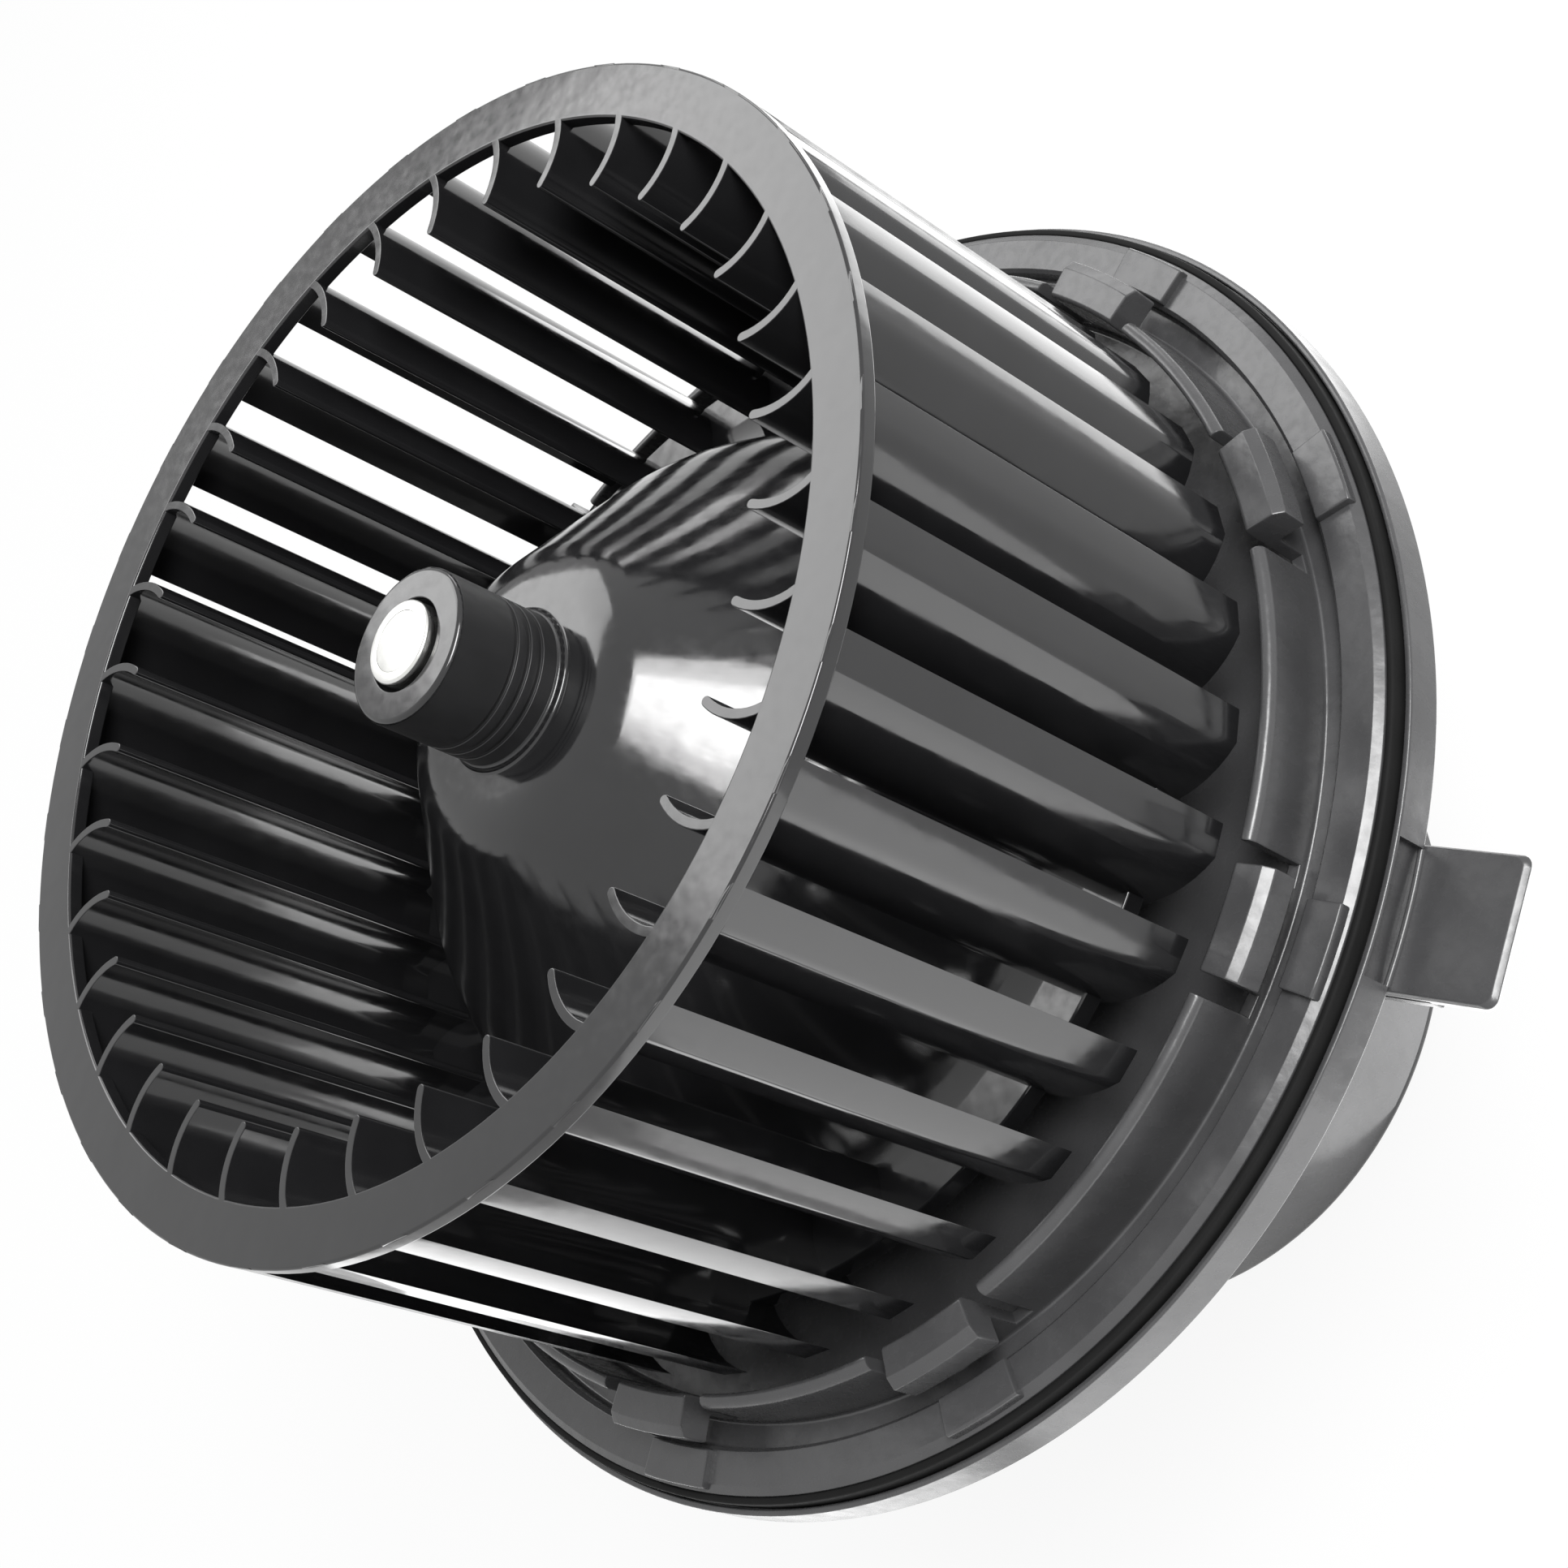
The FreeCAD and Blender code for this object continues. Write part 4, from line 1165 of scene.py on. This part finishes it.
# Round wire wound to a spring along X, between two radii from the shaft
def coil(mesh, start, end, height, turns, side):
    wire = spring_wire / 2
    winding = (spring_high.z - spring_low.z) / 2 - wire
    steps = turns * spring_steps
    length = end - start - 2 * wire
    rings = []
    for step in range(steps + 1):
        angle = math.tau * step / spring_steps
        out = Vector((0, math.cos(angle), math.sin(angle)))
        centre = Vector((start + wire + length * step / steps, 0, height)) + out * winding
        ring = [centre + (out * math.cos(turn) + Vector((1, 0, 0)) * math.sin(turn)) * wire
                for turn in (math.tau * index / wire_steps for index in range(wire_steps))]
        rings.append([mesh.verts.new(Vector((side * point.x, point.y, point.z)) * mm)
                      for point in ring])
    for near, far in zip(rings, rings[1:]):
        for index in range(wire_steps):
            after = (index + 1) % wire_steps
            mesh.faces.new((near[index], far[index], far[after], near[after]))
    mesh.faces.new(rings[0])
    mesh.faces.new(rings[-1][::-1])


class BLOWER_OT_springs(bpy.types.Operator):
    """Make the springs that press the brushes to the commutator"""
    bl_idname = "blower.springs"
    bl_label = "Brush springs"

    def execute(self, context):
        steel = metal("Drawn spring steel", "a8abae", 0.3, round_lines=False)
        height = (spring_low.z + spring_high.z) / 2
        for name, side in (("left", -1), ("right", 1)):
            mesh = bmesh.new()
            coil(mesh, spring_low.x, spring_high.x, height, sizes().spring_turns, side)
            piece = new_piece(mesh, "spring_coil_" + name, steel)
            join_frame(piece, "housing", "spring_steel", "brush_spring_" + name)
            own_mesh(piece)
        return {"FINISHED"}


class BLOWER_OT_motor(bpy.types.Operator):
    """Finish the motor inside the housing"""
    bl_idname = "blower.motor"
    bl_label = "Motor"

    def execute(self, context):
        dress(metal("Zinc-plated can steel", "a9acb0", 0.36), "motor_can", "end_plate", "magnet_clips",
              "front_bearing_retainer", "rear_bearing_retainer", "through_bolts")
        dress(metal("Stamped core steel", "6f7276", 0.42, 0.5, 0.5), "armature_core")
        dress(wound_wire("Enamelled armature wire", "a04a26", 0.6), "armature_windings")
        dress(wound_wire("Enamelled choke wire", "a85a2e", 0.8), "choke_left", "choke_right")
        dress(metal("Turned commutator copper", "c47a55", 0.3, 0.2, 0.3), "commutator")
        dress(metal("Sintered bearing bronze", "9c7440", 0.5, 0.3, 0.3, False),
              "front_bearing", "rear_bearing")
        dress(metal("Folded brush box brass", "c8a45c", 0.36, round_lines=False),
              "brush_box_left", "brush_box_right")
        dress(grained("Moulding compound", "3a2418", 0.6, 0.5, 0.3), "commutator_hub", "brush_carrier")
        dress(grained("Dark ferrite", "3a3a3c", 0.66, 0.4, 0.4), "magnet_left", "magnet_right")
        dress(grained("Pressed carbon", "2a2a2a", 0.7, 0.3, 0.4), "brush_left", "brush_right")
        dress(grained("Oiled felt", "a99c7c", 0.95, 0.5, 0.9), "front_felt_ring", "rear_felt_ring")
        dress(grained("Natural nylon", "d6d2c6", 0.45, 2.0, 0.1),
              "front_thrust_washer", "rear_thrust_washer")
        dress(rubber("Moulded isolator rubber", linear("151515")), "front_isolator", "rear_isolator")
        return {"FINISHED"}


# Stage

# Direction from the object, by azimuth from +X and elevation in degrees
def direction(azimuth, elevation):
    turn, rise = math.radians(azimuth), math.radians(elevation)
    return Vector((math.cos(rise) * math.cos(turn), math.cos(rise) * math.sin(turn), math.sin(rise)))


def add_camera(scene):
    back = direction(view_azimuth, view_elevation)
    level = UP.cross(back).normalized()
    rise = back.cross(level)
    roll = math.radians(view_roll)
    right = level * math.cos(roll) + rise * math.sin(roll)
    above = rise * math.cos(roll) - level * math.sin(roll)
    data = bpy.data.cameras.new("camera")
    data.sensor_width = film_width
    data.lens = view_lens
    data.clip_start = near_clip * mm
    camera = bpy.data.objects.new("camera", data)
    turn = Matrix((right, above, back)).transposed().to_4x4()
    camera.matrix_world = Matrix.Translation((view_target + back * view_distance) * mm) @ turn
    scene.collection.objects.link(camera)
    scene.camera = camera


# Soft lamp that shines away from a direction and is not seen by the camera
def add_lamp(name, place, away, width, height, radiance):
    data = bpy.data.lights.new(name, "AREA")
    data.shape = "RECTANGLE"
    data.size, data.size_y = width * mm, height * mm
    data.energy = radiance * math.pi * data.size * data.size_y
    lamp = bpy.data.objects.new(name, data)
    turn = away.to_track_quat("Z", "Y").to_matrix().to_4x4()
    lamp.matrix_world = Matrix.Translation(place * mm) @ turn
    lamp.visible_camera = False
    bpy.context.scene.collection.objects.link(lamp)


# Factor that is 1 for rays that should see the plain background
def background_rays(tree):
    path = add_node(tree, "ShaderNodeLightPath").outputs
    seen = add_node(tree, "ShaderNodeMath", {"operation": "MAXIMUM"}, {
        0: path["Is Camera Ray"], 1: path["Is Glossy Ray"]})
    return add_node(tree, "ShaderNodeMath", {"operation": "MAXIMUM"}, {
        0: seen.outputs[0], 1: path["Is Transmission Ray"]}).outputs[0]


def add_world(scene):
    world = bpy.data.worlds.new("studio")
    tree = empty_tree(world)
    plain = add_node(tree, "ShaderNodeBackground", inputs={"Color": (1, 1, 1, 1), "Strength": 1.0})
    light = add_node(tree, "ShaderNodeBackground", inputs={
        "Color": (1, 1, 1, 1), "Strength": world_light})
    both = add_node(tree, "ShaderNodeMixShader", inputs={
        0: background_rays(tree), 1: light.outputs[0], 2: plain.outputs[0]})
    add_node(tree, "ShaderNodeOutputWorld", inputs={"Surface": both.outputs[0]})
    scene.world = world


# Pale floor that reads as the plain background and keeps a part of the shadow
def floor_paint():
    material = bpy.data.materials.new("Pale studio floor")
    tree = empty_tree(material)
    matt = add_node(tree, "ShaderNodeBsdfDiffuse", inputs={"Color": [floor_tone] * 3 + [1.0]})
    glow = add_node(tree, "ShaderNodeEmission", inputs={"Color": (1, 1, 1, 1), "Strength": 1.0})
    share = add_node(tree, "ShaderNodeMath", {"operation": "MULTIPLY"}, {
        0: background_rays(tree), 1: floor_glow})
    both = add_node(tree, "ShaderNodeMixShader", inputs={
        0: share.outputs[0], 1: matt.outputs[0], 2: glow.outputs[0]})
    add_node(tree, "ShaderNodeOutputMaterial", inputs={"Surface": both.outputs[0]})
    return material


def add_floor():
    reach = floor_reach * mm
    mesh = bmesh.new()
    corners = [mesh.verts.new((x, y, cup_rear * mm)) for x, y in
               ((-reach, -reach), (reach, -reach), (reach, reach), (-reach, reach))]
    mesh.faces.new(corners)
    floor = new_object(mesh, "floor")
    mesh.free()
    floor.data.materials.append(floor_paint())


class BLOWER_OT_stage(bpy.types.Operator):
    """Make the floor, the background, the lamps and the camera"""
    bl_idname = "blower.stage"
    bl_label = "Stage"

    def execute(self, context):
        scene = context.scene
        scene.view_settings.view_transform = "Standard"
        add_camera(scene)
        add_world(scene)
        add_floor()
        for name, azimuth, elevation, distance, width, height, radiance in softboxes:
            away = direction(azimuth, elevation)
            add_lamp(name, away * distance, away, width, height, radiance)
        for name, x, y, width, height, radiance in cards:
            add_lamp(name, Vector((x, y, cup_rear + card_lift)), -UP, width, height, radiance)
        return {"FINISHED"}


class BLOWER_PT_pieces(bpy.types.Panel):
    """Lists the pieces of the blower"""
    bl_idname = "BLOWER_PT_pieces"
    bl_label = "Blower"
    bl_space_type = "VIEW_3D"
    bl_region_type = "UI"
    bl_category = "Blower"

    def draw(self, context):
        layout = self.layout
        for group in (context.scene.blower_sizes, context.scene.blower_colours):
            for name in group.bl_rna.properties.keys():
                if name not in ("rna_type", "name"):
                    layout.prop(group, name)
        for operator in operators:
            layout.operator(operator.bl_idname)


operators = (BLOWER_OT_wheel, BLOWER_OT_sleeve, BLOWER_OT_housing, BLOWER_OT_seal, BLOWER_OT_rear,
             BLOWER_OT_springs, BLOWER_OT_motor, BLOWER_OT_stage)
classes = (BlowerSizes, BlowerColours) + operators + (BLOWER_PT_pieces,)


def register():
    for item in classes:
        bpy.utils.register_class(item)
    bpy.types.Scene.blower_sizes = bpy.props.PointerProperty(type=BlowerSizes)
    bpy.types.Scene.blower_colours = bpy.props.PointerProperty(type=BlowerColours)


def unregister():
    del bpy.types.Scene.blower_colours
    del bpy.types.Scene.blower_sizes
    for item in reversed(classes):
        bpy.utils.unregister_class(item)


def main():
    register()
    bpy.ops.blower.wheel()
    bpy.ops.blower.sleeve()
    bpy.ops.blower.housing()
    bpy.ops.blower.seal()
    bpy.ops.blower.rear()
    bpy.ops.blower.springs()
    bpy.ops.blower.motor()
    bpy.ops.blower.stage()


if __name__ == "__main__":
    main()
